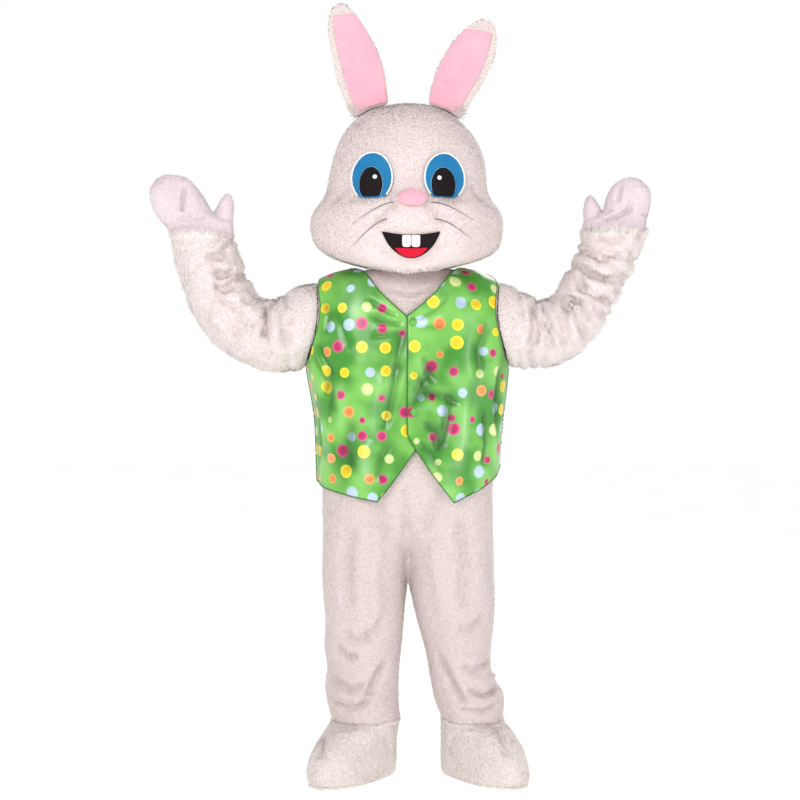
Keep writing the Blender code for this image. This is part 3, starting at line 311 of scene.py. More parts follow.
@dataclass(frozen=True)
class Felt:
    """A flat dense felt or smooth short nap.

    Attributes:
        name: the material's name.
        deep: the darker fibre colour.
        pale: the lighter fibre colour.
        roughness: how matt it is.
        sheen: how much its fibres light up towards the edges.
    """

    name: str
    deep: Colour
    pale: Colour
    roughness: float = 0.85
    sheen: float = 0.1

    def material(self) -> Material:
        """Builds the node material."""
        graph = Graph(self.name)
        where = graph.add("TexCoord").outputs["Object"]
        fibre = graph.noise(where, Scale=420.0, Detail=4.0, Roughness=0.7)
        both = graph.math("ADD", fibre, graph.noise(where, Scale=14.0, Detail=1.0))
        graph.base(graph.ramp(graph.math("MULTIPLY", both, 0.5), [(0.3, self.deep), (0.7, self.pale)]))
        graph.bump(fibre, 0.3, 0.0012)
        graph.set(Roughness=self.roughness, Sheen_Weight=self.sheen, Sheen_Roughness=0.5, Specular_IOR_Level=0.12)
        return graph.material


@dataclass(frozen=True)
class DottedSatin:
    """A glossy satin with soft-edged dots of several colours and sizes, laid out on the cloth's own UV map.

    Attributes:
        name: the material's name.
        shade: the darker of the ground's two greens, the satin's green with painted shade.
        light: the lighter green, the satin's green with painted sheen.
        pitch: the dots' usual spacing, in millimetres.
        smallest: the smallest dot's radius, in millimetres.
        largest: the largest dot's radius.
    """

    name: str
    shade: Colour
    light: Colour
    pitch: float = 55.0
    smallest: float = 8.0
    largest: float = 17.5

    RIMS = (
        (0.0, (0.66, 0.07, 0.24)),
        (0.27, (0.90, 0.78, 0.03)),
        (0.53, (0.58, 0.76, 0.24)),
        (0.71, (0.84, 0.40, 0.10)),
        (0.85, (0.38, 0.62, 0.62)),
    )
    CORES = (
        (0.0, (0.47, 0.006, 0.10)),
        (0.27, (0.93, 0.60, 0.01)),
        (0.53, (0.66, 0.70, 0.34)),
        (0.71, (0.90, 0.23, 0.05)),
        (0.85, (0.50, 0.60, 0.80)),
    )
    CORE_SHARE = 0.74

    def material(self) -> Material:
        """Builds the node material."""
        graph = Graph(self.name)
        cloth = graph.add("UVMap", uv_map="cloth").outputs["UV"]
        # The ground's random patches between the two greens are the satin's green with painted shade and painted
        # sheen.
        ground = graph.ramp(graph.noise(cloth, Scale=8.0, Detail=2.0), [(0.36, self.shade), (0.62, self.light)])
        cells = graph.add("TexVoronoi", voronoi_dimensions="2D", Scale=1000.0 / self.pitch, Randomness=0.6)
        graph.link(cloth, cells.inputs["Vector"])
        picks = graph.add("SeparateColor")
        graph.link(cells.outputs["Color"], picks.inputs["Color"])
        kind, distance = picks.outputs["Red"], cells.outputs["Distance"]
        size = graph.math("POWER", picks.outputs["Green"], 0.7)
        reach = graph.scaled(size, To_Min=self.smallest / self.pitch, To_Max=self.largest / self.pitch)
        core = graph.math("MULTIPLY", reach, self.CORE_SHARE)
        edge = graph.scaled(graph.math("SUBTRACT", reach, distance), From_Min=-0.02, From_Max=0.03)
        deep = graph.scaled(graph.math("SUBTRACT", core, distance), From_Min=-0.03, From_Max=0.05)
        rim, middle = (graph.ramp(kind, list(stops), constant=True) for stops in (self.RIMS, self.CORES))
        dotted = graph.mix(edge, ground, graph.mix(deep, rim, middle))
        # Painted shade: fold troughs are multiplied to a deep green; painted highlight: fold ridges are lightened.
        fold = graph.add("Attribute", attribute_name="fold").outputs["Fac"]
        trough = graph.math("MULTIPLY", graph.math("MAXIMUM", fold, 0.0), 0.85)
        ridge = graph.math("MULTIPLY", graph.math("MAXIMUM", graph.math("MULTIPLY", fold, -1.0), 0.0), 0.5)
        for share in (trough, ridge):
            share.node.use_clamp = True
        shaded = graph.mix(trough, dotted, (0.22, 0.36, 0.22), "MULTIPLY")
        graph.base(graph.mix(ridge, shaded, (0.30, 0.30, 0.30), "ADD"))
        graph.bump(graph.noise(cloth, Scale=900.0, Detail=1.0), 0.1, 0.0003)
        graph.set(Roughness=0.27, Sheen_Weight=0.05, Sheen_Roughness=0.3, Specular_IOR_Level=0.55)
        return graph.material


@dataclass(frozen=True)
class Smooth:
    """A smooth or slightly grained plastic, rubber, thread or floor.

    Attributes:
        name: the material's name.
        deep: the darker tone.
        pale: the lighter tone.
        roughness: how matt it is.
        grain: the noise's scale.
        relief: how strong its bump is.
        glow: how much light it adds of its own.
    """

    name: str
    deep: Colour
    pale: Colour
    roughness: float
    grain: float = 120.0
    relief: float = 0.1
    glow: float = 0.0

    def material(self) -> Material:
        """Builds the node material."""
        graph = Graph(self.name)
        where = graph.add("TexCoord").outputs["Object"]
        noise = graph.noise(where, Scale=self.grain, Detail=3.0)
        graph.base(graph.ramp(noise, [(0.35, self.deep), (0.65, self.pale)]))
        graph.bump(noise, self.relief, 0.001)
        graph.set(Roughness=self.roughness, Emission_Strength=self.glow)
        graph.shader.inputs["Emission Color"].default_value = (1.0, 1.0, 1.0, 1.0)
        return graph.material


class Finish(Enum):
    """Every finish of the costume and its stage."""

    # SUIT is a darker copy of the sleeves' plush: painted shade on the body and legs. Every plush's first colour is
    # painted shade at the tufts' roots.
    SUIT = Plush("suit_pile_painted_shade", (0.57, 0.47, 0.45), (0.835, 0.735, 0.715), (0.81, 0.70, 0.675))
    SLEEVE = Plush("sleeve_pile", (0.66, 0.56, 0.54), (0.96, 0.87, 0.845), (0.95, 0.845, 0.815))
    HEAD = Plush("head_pile", (0.70, 0.58, 0.56), (0.915, 0.80, 0.78), (0.90, 0.76, 0.735))
    MITTEN = Plush("mitten_pile", (0.64, 0.52, 0.56), (0.93, 0.815, 0.86), (0.92, 0.785, 0.835))
    # FOOT is a lighter copy of the same plush: painted light against the shade round the feet.
    FOOT = Plush("foot_pile_painted_light", (0.66, 0.57, 0.53), (0.96, 0.87, 0.83), (0.94, 0.845, 0.80))
    PINK = Felt("pink_nap", (0.86, 0.39, 0.49), (0.90, 0.46, 0.55), 0.9)
    BLUE = Felt("eye_blue", (0.012, 0.15, 0.34), (0.022, 0.22, 0.46))
    BLACK = Felt("eye_black", (0.006, 0.004, 0.005), (0.016, 0.010, 0.011), 0.7, 0.0)
    WHITE = Felt("bright_white", (0.86, 0.86, 0.88), (0.95, 0.95, 0.96))
    TOOTH = Felt("tooth_white", (0.80, 0.70, 0.69), (0.90, 0.80, 0.79))
    THREAD = Felt("pale_thread", (0.20, 0.47, 0.66), (0.30, 0.58, 0.76))
    RED = Felt("tongue_red", (0.55, 0.004, 0.025), (0.66, 0.010, 0.035))
    SATIN = DottedSatin("dotted_satin", (0.045, 0.27, 0.018), (0.19, 0.53, 0.085))
    COVER = Smooth("button_satin", (0.08, 0.34, 0.04), (0.14, 0.46, 0.07), 0.35, 60.0)
    EDGING = Smooth("dark_edging", (0.01, 0.09, 0.012), (0.03, 0.17, 0.025), 0.5, 400.0)
    BRISTLE = Smooth("dark_bristle", (0.06, 0.04, 0.05), (0.10, 0.07, 0.09), 0.4)
    SOLE = Smooth("pale_sole", (0.76, 0.69, 0.66), (0.82, 0.75, 0.72), 0.85, 90.0, 0.2)
    FLOOR = Smooth("pale_floor", (0.90, 0.90, 0.90), (0.93, 0.93, 0.93), 0.9, 3.0, 0.0, 0.34)

    def on(self, piece: Piece) -> None:
        """Gives the piece this finish alone."""
        if self not in MADE:
            MADE[self] = self.value.material()
        piece.data.materials.clear()
        piece.data.materials.append(MADE[self])


MADE: dict[Finish, Material] = {}


def new_piece(name: str, mesh: bpy.types.Mesh) -> Piece:
    """Puts a mesh into the scene as a piece."""
    piece = bpy.data.objects.new(name, mesh)
    bpy.context.scene.collection.objects.link(piece)
    return piece


def hand_over(piece: Piece, slot: str, *nodes: str) -> None:
    """Lets a piece ride on the costume's body and take the place of its nodes."""
    piece.data.shade_smooth()
    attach(piece, BODY)
    if nodes:
        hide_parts(*nodes)
    log.info("%s: %d faces", piece.name, len(piece.data.polygons))


def copy_of(node: str, name: str) -> Piece:
    """A new piece with a node's mesh, its loose triangles merged."""
    piece = new_piece(name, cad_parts[node].data.copy())
    only(piece)
    bpy.ops.mesh.customdata_custom_splitnormals_clear()
    with editing(piece):
        bpy.ops.mesh.remove_doubles(threshold=SAME_POINT * MM)
    return piece


def keep_outer_sheet(piece: Piece, sharp: float) -> None:
    """Deletes all of a wall but its outer sheet, the largest part between edges that turn sharply.

    Args:
        piece: the wall.
        sharp: the turn, in degrees, that ends a sheet.
    """
    limit = math.radians(sharp)
    best: list[bmesh.types.BMFace] = []
    best_area = 0.0
    with shape_of(piece) as shape:
        left = set(shape.faces)
        while left:
            start = left.pop()
            part, queue = [start], [start]
            while queue:
                for edge in queue.pop().edges:
                    if len(edge.link_faces) != 2 or edge.calc_face_angle(math.pi) > limit:
                        continue
                    others = [face for face in edge.link_faces if face in left]
                    left.difference_update(others)
                    part += others
                    queue += others
            area = sum(face.calc_area() for face in part)
            if area > best_area:
                best, best_area = part, area
        kept = set(best)
        bmesh.ops.delete(shape, geom=[face for face in shape.faces if face not in kept], context="FACES")


QUAD_TURN = math.radians(60)
QUAD_SKEW = math.radians(80)


def outer_skin(name: str, nodes: list[str], sharp: float = 58.0) -> Piece:
    """The outer sheets of several cloth nodes, sewn to one sheet of four-sided faces.

    Args:
        name: the new piece's name.
        nodes: the nodes whose outer sheets are sewn together.
        sharp: the turn, in degrees, that ends a sheet.

    Returns:
        The sheet, facing outwards.
    """
    sheets = []
    for node in nodes:
        sheet = copy_of(node, name)
        keep_outer_sheet(sheet, sharp)
        with editing(sheet):
            bpy.ops.mesh.tris_convert_to_quads(face_threshold=QUAD_TURN, shape_threshold=QUAD_SKEW)
        sheets.append(sheet)
    piece = joined(sheets)
    piece.name = name
    with editing(piece):
        bpy.ops.mesh.remove_doubles(threshold=SEAM_GAP * MM)
    return piece


def subdivide(piece: Piece, levels: int) -> None:
    """Rounds a piece by subdivision."""
    modify(piece, "SUBSURF", levels=levels, render_levels=levels, subdivision_type="CATMULL_CLARK")


def values_of(piece: Piece, name: str) -> np.ndarray:
    """The values of a point attribute, or zeros where the piece has none."""
    values = np.zeros(len(piece.data.vertices), np.float32)
    layer = piece.data.attributes.get(name)
    if layer is not None:
        layer.data.foreach_get("value", values)
    return values


def press(piece: Piece, shift: np.ndarray) -> None:
    """Moves a sheet's points along their facing, by millimetres, and keeps how deep each lies as a point attribute,
    which paints shade in troughs and highlight on ridges.
    """
    put_points(piece, points_of(piece) + facings_of(piece) * shift[:, None] * MM)
    folds = values_of(piece, "fold") - shift / FOLD_DEPTH
    layer = piece.data.attributes.get("fold") or piece.data.attributes.new("fold", "FLOAT", "POINT")
    layer.data.foreach_set("value", folds.astype(np.float32))


def sink(piece: Piece, depth: float) -> None:
    """Moves a sheet inwards, along its own facing, by millimetres."""
    put_points(piece, points_of(piece) - facings_of(piece) * depth * MM)


def give_thickness(piece: Piece, thickness: float) -> None:
    """Makes a sheet a wall, on its hollow side, by millimetres."""
    log.info("%s: %.3f square metres of cloth", piece.name, sum(face.area for face in piece.data.polygons))
    modify(piece, "SOLIDIFY", thickness=thickness * MM, offset=-1.0, use_even_offset=False)


@dataclass(frozen=True)
class Crease:
    """A soft trough, or a ridge where its depth is below 0, laid along points seen from the front or behind.

    Attributes:
        points: places on it, each x and height above the floor.
        width: how far from its line it fades, in millimetres.
        depth: how deep it is at its middle.
        behind: whether it lies on the back.
        fade: the share of its length over which each end fades out.
    """

    points: tuple[tuple[float, float], ...]
    width: float
    depth: float
    behind: bool = False
    fade: float = 0.22


CREASE_STEP = 5.0
CREASE_NARROWS = 0.72


def creases_of(*rows: tuple[float, ...], behind: bool = False) -> tuple[Crease, ...]:
    """Makes creases from rows of a width, a depth and then each point's x and height."""
    return tuple(Crease(tuple(zip(row[2::2], row[3::2])), row[0], row[1], behind) for row in rows)


def press_creases(piece: Piece, creases: tuple[Crease, ...], deepen: float) -> None:
    """Presses creases into a sheet.

    Args:
        piece: the sheet, facing outwards.
        creases: the creases to press.
        deepen: what their depths are multiplied by.
    """
    tree = tree_of(piece)
    points = points_of(piece)
    shift = np.zeros(len(points))
    for crease in creases:
        line, lengths = [], []
        for (x0, z0), (x1, z1) in zip(crease.points, crease.points[1:]):
            steps = max(1, round(math.hypot(x1 - x0, z1 - z0) / CREASE_STEP))
            for step in range(steps):
                share = step / steps
                line.append((x0 + (x1 - x0) * share, z0 + (z1 - z0) * share))
        line.append(crease.points[-1])
        way = -1.0 if crease.behind else 1.0
        found = []
        for number, (x, z) in enumerate(line):
            place, _, _, _ = tree.ray_cast(spot(x, -way * FAR, z), Vector((0, way, 0)))
            if place is not None:
                found.append(place)
                lengths.append(number / max(1, len(line) - 1))
        if not found:
            continue
        path = np.array([place[:] for place in found])
        share = np.array(lengths)
        strength = ease(0, crease.fade, share) * ease(0, crease.fade, 1 - share) if len(found) > 2 else share * 0 + 1
        away = np.linalg.norm(points[:, None, :] - path[None, :, :], axis=2) / (crease.width * CREASE_NARROWS * MM)
        nearest = away.argmin(axis=1)
        fall = np.exp(-(away[np.arange(len(points)), nearest] ** 2)) * strength[nearest]
        shift -= fall * crease.depth * deepen
    press(piece, shift)


def ruffle(piece: Piece, height: float, length: float, seed: int, rise: float = 1.0) -> None:
    """Adds a low uneven swell to a sheet.

    Args:
        piece: the sheet.
        height: how high the swell is, in millimetres.
        length: how long its waves are, in millimetres.
        seed: picks the swell.
        rise: less than 1 draws the waves out upwards.
    """
    points = points_of(piece) * np.array([1.0, 1.0, rise])
    draw = np.random.default_rng(seed)
    swell = np.zeros(len(points))
    waves = 7
    for _ in range(waves):
        way = draw.normal(size=3)
        way /= np.linalg.norm(way)
        swell += np.sin(points @ way * (2 * math.pi / (length * MM * draw.uniform(0.7, 1.5))) + draw.uniform(0, 6.3))
    press(piece, swell / waves * 2 * height)


def tuck(piece: Piece, cover: BVHTree, room: float, depth: float = 32.0, above: float = 6.0) -> None:
    """Moves a sheet's points inwards until they lie under what covers them.

    Args:
        piece: the sheet, facing outwards.
        cover: what lies over it.
        room: how far under the cover a point has to lie, in millimetres.
        depth: how far under a point the search starts.
        above: how far over a point it ends.
    """
    points, facings = points_of(piece), facings_of(piece)
    for number, (point, facing) in enumerate(zip(points, facings)):
        start = Vector(point - facing * depth * MM)
        found, _, _, away = cover.ray_cast(start, Vector(facing), (depth + above) * MM)
        if found is not None:
            points[number] = point + facing * min(0.0, away - (depth + room) * MM)
    put_points(piece, points)


def keep_corners(piece: Piece, turn: float) -> None:
    """Marks the corners of a sheet's outline, so that subdivision doesn't round them.

    Args:
        piece: the sheet.
        turn: the least turn of a corner, in degrees.
    """
    marks = np.zeros(len(piece.data.vertices), np.float32)
    with shape_of(piece, changed=False) as shape:
        for vert in shape.verts:
            rims = [edge for edge in vert.link_edges if edge.is_boundary]
            if len(rims) == 2:
                one, other = (edge.other_vert(vert).co - vert.co for edge in rims)
                if math.degrees(one.angle(-other)) > turn:
                    marks[vert.index] = 1.0
    layer = piece.data.attributes.new("crease_vert", "FLOAT", "POINT")
    layer.data.foreach_set("value", marks)


def rim_cord(piece: Piece, name: str, radius: float, finish: "Finish", beside: KDTree | None = None,
             lowest: float | None = None) -> Piece:
    """Runs a cord along a sheet's free edge.

    Args:
        piece: the sheet.
        name: the cord's name.
        radius: the cord's, in millimetres.
        finish: the cord's finish.
        beside: the edge points of the sheets that it is sewn to, where no cord runs.
        lowest: the height under which no cord runs, in millimetres above the floor.

    Returns:
        The cord.
    """
    lines = []
    mesh = bpy.data.meshes.new(name)
    with shape_of(piece, changed=False) as shape:
        for edge in shape.edges:
            if not edge.is_boundary:
                continue
            sewn = beside is not None and all(beside.find(vert.co)[2] < SEWN * MM for vert in edge.verts)
            under = lowest is not None and min(vert.co.z for vert in edge.verts) < level(lowest)
            if not sewn and not under:
                lines.append([vert.index for vert in edge.verts])
        mesh.from_pydata([vert.co.copy() for vert in shape.verts], lines, [])
    cord = new_piece(name, mesh)
    with editing(cord):
        bpy.ops.mesh.delete_loose(use_verts=True, use_edges=False, use_faces=False)
    bpy.ops.object.convert(target="CURVE")
    cord = bpy.context.view_layer.objects.active
    cord.data.bevel_depth = radius * MM
    cord.data.bevel_resolution = 1
    cord.data.use_fill_caps = True
    bpy.ops.object.convert(target="MESH")
    cord = bpy.context.view_layer.objects.active
    cord.name = name
    finish.on(cord)
    return cord


def rim_points(*pieces: Piece) -> KDTree:
    """A search tree over the edge points of several sheets."""
    spots = []
    for piece in pieces:
        with shape_of(piece, changed=False) as shape:
            spots += [vert.co.copy() for vert in shape.verts if vert.is_boundary]
    tree = KDTree(len(spots))
    for number, place in enumerate(spots):
        tree.insert(place, number)
    tree.balance()
    return tree


# Painted shade: FOLD_SHADE darkens tufts in fold troughs and lightens them on ridges; TUFT_SHADES darkens each tuft's
# three root corners against its tip.
FOLD_SHADE = 0.55
TUFT_FACES = ((0, 3, 2), (2, 3, 1), (1, 3, 0))
TUFT_SHADES = (0.68, 0.68, 0.75, 1.0)
SWIRLS = (((61, 17, 43), 0.3), ((-37, 71, 29), 1.7), ((23, -47, 67), 4.1))
LIFT = 0.0015  # metres over the sheet from which a cover is looked for
ROOTED = 0.0008  # metres that a tuft's root lies under the sheet


def unit(rows: np.ndarray) -> np.ndarray:
    """Rows of vectors, each drawn out to a length of 1."""
    return rows / (np.linalg.norm(rows, axis=1)[:, None] + 1e-9)


@dataclass(frozen=True)
class Pile:
    """Short fur made of small three-sided tufts set over a sheet.

    Attributes:
        length: a tuft's length, in millimetres.
        width: its width at the root.
        spacing: how far apart the tufts stand.
        lean: how many degrees they lean from straight up.
        comb: the way they are combed.
        waver: how unevenly they lie, from 0.
        nap: how far a tuft's shading leans the way it lies.
        ruffling: how unevenly the tufts catch the light.
    """

    length: float
    width: float
    spacing: float
    lean: float = 50.0
    comb: tuple[float, float, float] = (0.0, -0.15, -1.0)
    waver: float = 0.35
    nap: float = 0.1
    ruffling: float = 0.1

    def grow(
        self,
        name: str,
        skin: Piece,
        finish: Finish,
        slot: str,
        covers: BVHTree | None = None,
        seed: int = 1,
        reach: float = 26.0,
        within: Callable[[np.ndarray], np.ndarray] | None = None,
    ) -> Piece:
        """Grows the fur on a sheet.

        Args:
            name: the new piece's name.
            skin: the sheet, facing outwards.
            finish: the fur's finish.
            slot: passed on to hand_over, which doesn't use it.
            covers: what lies over the sheet: no tuft grows under it.
            seed: picks the tufts' places.
            reach: how far over the sheet a cover counts, in millimetres.
            within: tells which of some places the fur may grow at.

        Returns:
            The piece of joined tufts.
        """
        draw = np.random.default_rng(seed)
        mesh = skin.data
        mesh.calc_loop_triangles()
        corners = np.empty(len(mesh.loop_triangles) * 3, np.int32)
        mesh.loop_triangles.foreach_get("vertices", corners)
        corners = corners.reshape(-1, 3)
        points, facings = points_of(skin), facings_of(skin)
        a, b, c = (points[corners[:, column]] for column in range(3))
        areas = np.linalg.norm(np.cross(b - a, c - a), axis=1) / 2
        wanted = areas / (self.spacing * MM) ** 2
        counts = np.floor(wanted + draw.random(len(wanted))).astype(int)
        owner = np.repeat(np.arange(len(corners)), counts)
        first, second = draw.random(len(owner)), draw.random(len(owner))
        over = first + second > 1
        first[over], second[over] = 1 - first[over], 1 - second[over]
        third = 1 - first - second
        blend = np.stack([third, first, second], axis=1)[:, :, None]
        roots = (points[corners[owner]] * blend).sum(axis=1)
        ups = (facings[corners[owner]] * blend).sum(axis=1)
        ups /= np.linalg.norm(ups, axis=1)[:, None]
        # Each root's fold depth, used only for painted shade in troughs and painted highlight on ridges.
        folds = (values_of(skin, "fold")[corners[owner]] * blend[:, :, 0]).sum(axis=1)
        if within is not None:
            chosen = within(roots)
            roots, ups, folds = roots[chosen], ups[chosen], folds[chosen]
        if covers is not None:
            free = [
                covers.ray_cast(Vector(root), Vector(up), reach * MM)[0] is None
                for root, up in zip(roots + ups * LIFT, ups)
            ]
            roots, ups, folds = roots[free], ups[free], folds[free]
        count = len(roots)
        comb = np.array(self.comb) / np.linalg.norm(self.comb)
        along = comb - ups * (ups @ comb)[:, None]
        swirl = np.stack([np.sin(roots @ np.array(way) + shift) for way, shift in SWIRLS], axis=1)
        along = along + swirl * self.waver + draw.normal(size=(count, 3)) * self.waver * 0.6
        along -= ups * (along * ups).sum(axis=1)[:, None]
        along = unit(along)
        lean = np.radians(self.lean + draw.normal(size=count) * 12)
        ways = ups * np.cos(lean)[:, None] + along * np.sin(lean)[:, None]
        sides = unit(np.cross(ways, ups))
        rises = np.cross(sides, ways)
        half = self.width * MM / 2 * draw.uniform(0.75, 1.25, count)[:, None]
        lengths = self.length * MM * draw.uniform(0.7, 1.25, count)[:, None]
        base = roots - ups * ROOTED
        verts = np.stack(
            [base + sides * half, base - sides * half, base + rises * half * 0.9, base + ways * lengths], axis=1
        )
        verts[:, :, 2] = np.maximum(verts[:, :, 2], level(0))
        start = np.arange(count)[:, None] * 4
        faces = np.concatenate([start + np.array(face) for face in TUFT_FACES], axis=1)
        made = bpy.data.meshes.new(name)
        made.vertices.add(count * 4)
        made.vertices.foreach_set("co", verts.astype(np.float32).ravel())
        made.loops.add(count * 9)
        made.loops.foreach_set("vertex_index", faces.reshape(-1).astype(np.int32))
        made.polygons.add(count * 3)
        made.polygons.foreach_set("loop_start", np.arange(0, count * 9, 3, dtype=np.int32))
        made.update(calc_edges=True)
        painted_tuft_shade = made.attributes.new("pile", "FLOAT", "POINT")
        # Painted shade: darker at the roots and in fold troughs, lighter on fold ridges.
        painted_shades = np.array(TUFT_SHADES) - np.clip(folds, -0.4, 1.3)[:, None] * FOLD_SHADE
        painted_tuft_shade.data.foreach_set("value", painted_shades.astype(np.float32).ravel())
        made.validate()
        fur = new_piece(name, made)
        finish.on(fur)
        hand_over(fur, slot)
        soft = ups + ways * self.nap + rises * 0.12 + draw.normal(size=(count, 3)) * self.ruffling
        soft /= np.linalg.norm(soft, axis=1)[:, None]
        made.normals_split_custom_set_from_vertices(np.repeat(soft, 4, axis=0).tolist())
        return fur


SUIT_NODES = ["suit_front_right", "suit_front_left", "suit_back_left", "suit_back_right"]


@dataclass
class Suit:
    """The plush jumpsuit's body: four panels from neck to ankles.

    Attributes:
        sink: how far the cloth lies inside the fur's reach, in millimetres.
        thickness: the cloth's own.
        room: how far it stays under the waistcoat.
        pile: its fur.
        hem_pile: the longer fur at the trousers' hems.
        hem: how high that reaches, over the floor.
        middle: how far from the middle line its middle seam's points may lie.
        crotch: where that seam ends, over the floor.
        deepen: what its folds' depths are multiplied by.
        creases: its folds.
        legs_from: the height of the legs' top.
        gusset: how far over the crotch the seam's points are drawn together.
    """

    sink: float = 4.0
    thickness: float = 2.5
    room: float = 7.0
    pile: Pile = Pile(7.0, 3.0, 4.2, 62.0, (0.0, -0.1, -1.0), 0.16)
    hem_pile: Pile = Pile(13.0, 2.6, 2.8, 80.0, (0.0, -0.1, -1.0), 0.25)
    hem: float = 162.0
    middle: float = 3.0
    crotch: float = 470.0
    deepen: float = 1.5
    creases: tuple[Crease, ...] = creases_of(
        (14, 6, -14, 790, -8, 720, -4, 640), (26, 6, -120, 770, -70, 700, -40, 620),
        (24, 6, 104, 780, 56, 710, 24, 640), (14, 9, -196, 356, -160, 326, -124, 330),
        (18, 7, -180, 396, -140, 372, -90, 384), (18, 12, -50, 322, -84, 266, -122, 190),
        (15, 9, -210, 272, -158, 244, -104, 254), (12, 9, -214, 210, -160, 190, -96, 204),
        (13, -5, -200, 236, -140, 216, -70, 228), (18, 6, -58, 440, -80, 400, -120, 372),
        (32, 8, -148, 700, -160, 560, -150, 430), (26, -5, -74, 640, -86, 520, -76, 400),
        (18, 12, 70, 346, 112, 262, 160, 192), (16, 9, 230, 312, 178, 290, 126, 306),
        (13, 11, 250, 242, 206, 226, 146, 244), (12, 8, 254, 204, 200, 180, 116, 190),
        (13, -6, 244, 268, 204, 258, 164, 268), (32, 8, 132, 720, 150, 580, 140, 430),
        (26, -5, 60, 640, 74, 540, 94, 420), (20, 8, 210, 432, 170, 402, 116, 408),
    ) + creases_of(
        (16, 12, 4, 770, 6, 660, 6, 500), (22, 9, -170, 752, -100, 712, -20, 730),
        (22, 9, 160, 746, 96, 706, 26, 724), (19, 9, -196, 462, -130, 432, -56, 452),
        (16, 8, -180, 408, -118, 386, -60, 404), (19, 9, 200, 456, 140, 430, 66, 446),
        (16, 8, 192, 402, 128, 378, 76, 398), (15, 10, -204, 256, -130, 226, -52, 250),
        (12, 8, -200, 204, -120, 184, -46, 200), (15, 10, 244, 250, 176, 222, 96, 244),
        (12, 8, 248, 202, 180, 180, 106, 196), (30, 6, -112, 660, -124, 560, -112, 480),
        (30, 6, 114, 660, 126, 560, 116, 480),
        behind=True,
    ) + creases_of(
        (10, 4, -74, 1292, 0, 1270, 80, 1294), (9, -5, -60, 1272, 4, 1254, 64, 1274),
    )
    legs_from: float = 720.0
    gusset: float = 30.0

    def build(self, covers: BVHTree) -> Piece:
        """Builds the suit and its fur.

        Args:
            covers: the waistcoat, sleeves and head, under which no fur grows.

        Returns:
            The suit's cloth.
        """
        suit = outer_skin("suit", SUIT_NODES)
        self.sew_middle(suit)
        subdivide(suit, 2)
        self.refine(suit)
        sink(suit, self.sink)
        press_creases(suit, self.creases, self.deepen)
        ruffle(suit, 2.4, 120, 5, 0.5)
        tuck(suit, covers, self.room)
        Finish.SUIT.on(suit)
        self.pile.grow("suit_fur", suit, Finish.SUIT, "plush", covers, 11)
        self.hem_pile.grow("hem_fur", suit, Finish.SUIT, "plush", None, 12, within=self.at_hem)
        give_thickness(suit, self.thickness)
        hand_over(suit, "plush", *SUIT_NODES)
        return suit

    def at_hem(self, places: np.ndarray) -> np.ndarray:
        """Tells which places lie at the trousers' hems."""
        return places[:, 2] < level(self.hem)

    def sew_middle(self, suit: Piece) -> None:
        """Sews the left and right panels together along the middle line, down to the crotch."""
        floor = level(self.crotch)
        with shape_of(suit) as shape:
            middle = [vert for vert in shape.verts if abs(vert.co.x) < self.middle * MM and vert.co.z > floor]
            for vert in middle:
                vert.co.x = 0
            bmesh.ops.remove_doubles(shape, verts=middle, dist=SEAM_GAP * MM)
            top = floor + self.gusset * MM
            low = [vert for vert in shape.verts if vert.co.x == 0 and floor < vert.co.z < top]
            bmesh.ops.remove_doubles(shape, verts=low, dist=2 * self.middle * MM)

    def refine(self, suit: Piece) -> None:
        """Divides the legs once more, for their creases."""
        top = level(self.legs_from)
        with shape_of(suit) as shape:
            legs = [face for face in shape.faces if face.calc_center_median().z < top]
            edges = list(dict.fromkeys(edge for face in legs for edge in face.edges))
            bmesh.ops.subdivide_edges(shape, edges=edges, cuts=1, use_grid_fill=True)


FOREARM = {"right": (-0.35, 0.94), "left": (0.3, 0.95)}


@dataclass(frozen=True)
class Gather:
    """A furrow across a sleeve, between two of its rolls.

    Attributes:
        at: how far along the arm it lies, in millimetres from the shoulder.
        width: how far from its line it fades.
        depth: how deep it is.
        tilt: how far it runs along the arm for each millimetre across it.
        lean: which side it is deepest on, from -1 for the arm's lower side to 1 for its upper side.
    """

    at: float
    width: float
    depth: float
    tilt: float = 0.0
    lean: float = 0.0


def gathers(*rows: tuple[float, ...]) -> tuple[Gather, ...]:
    """Makes furrows from rows of their fields."""
    return tuple(Gather(*row) for row in rows)


WANDERS = ((5, 27, 2.1), (4, 19, 1.3))  # how far a furrow wanders, over what length, and its shift to the next
HALF_ARM = 60
LEAN_ENDS = (0.15, 1.5)
ARM = ((250.0, 1172.0), (370.0, 1166.0), (455.0, 1216.0), (512.0, 1320.0), (575.0, 1450.0))


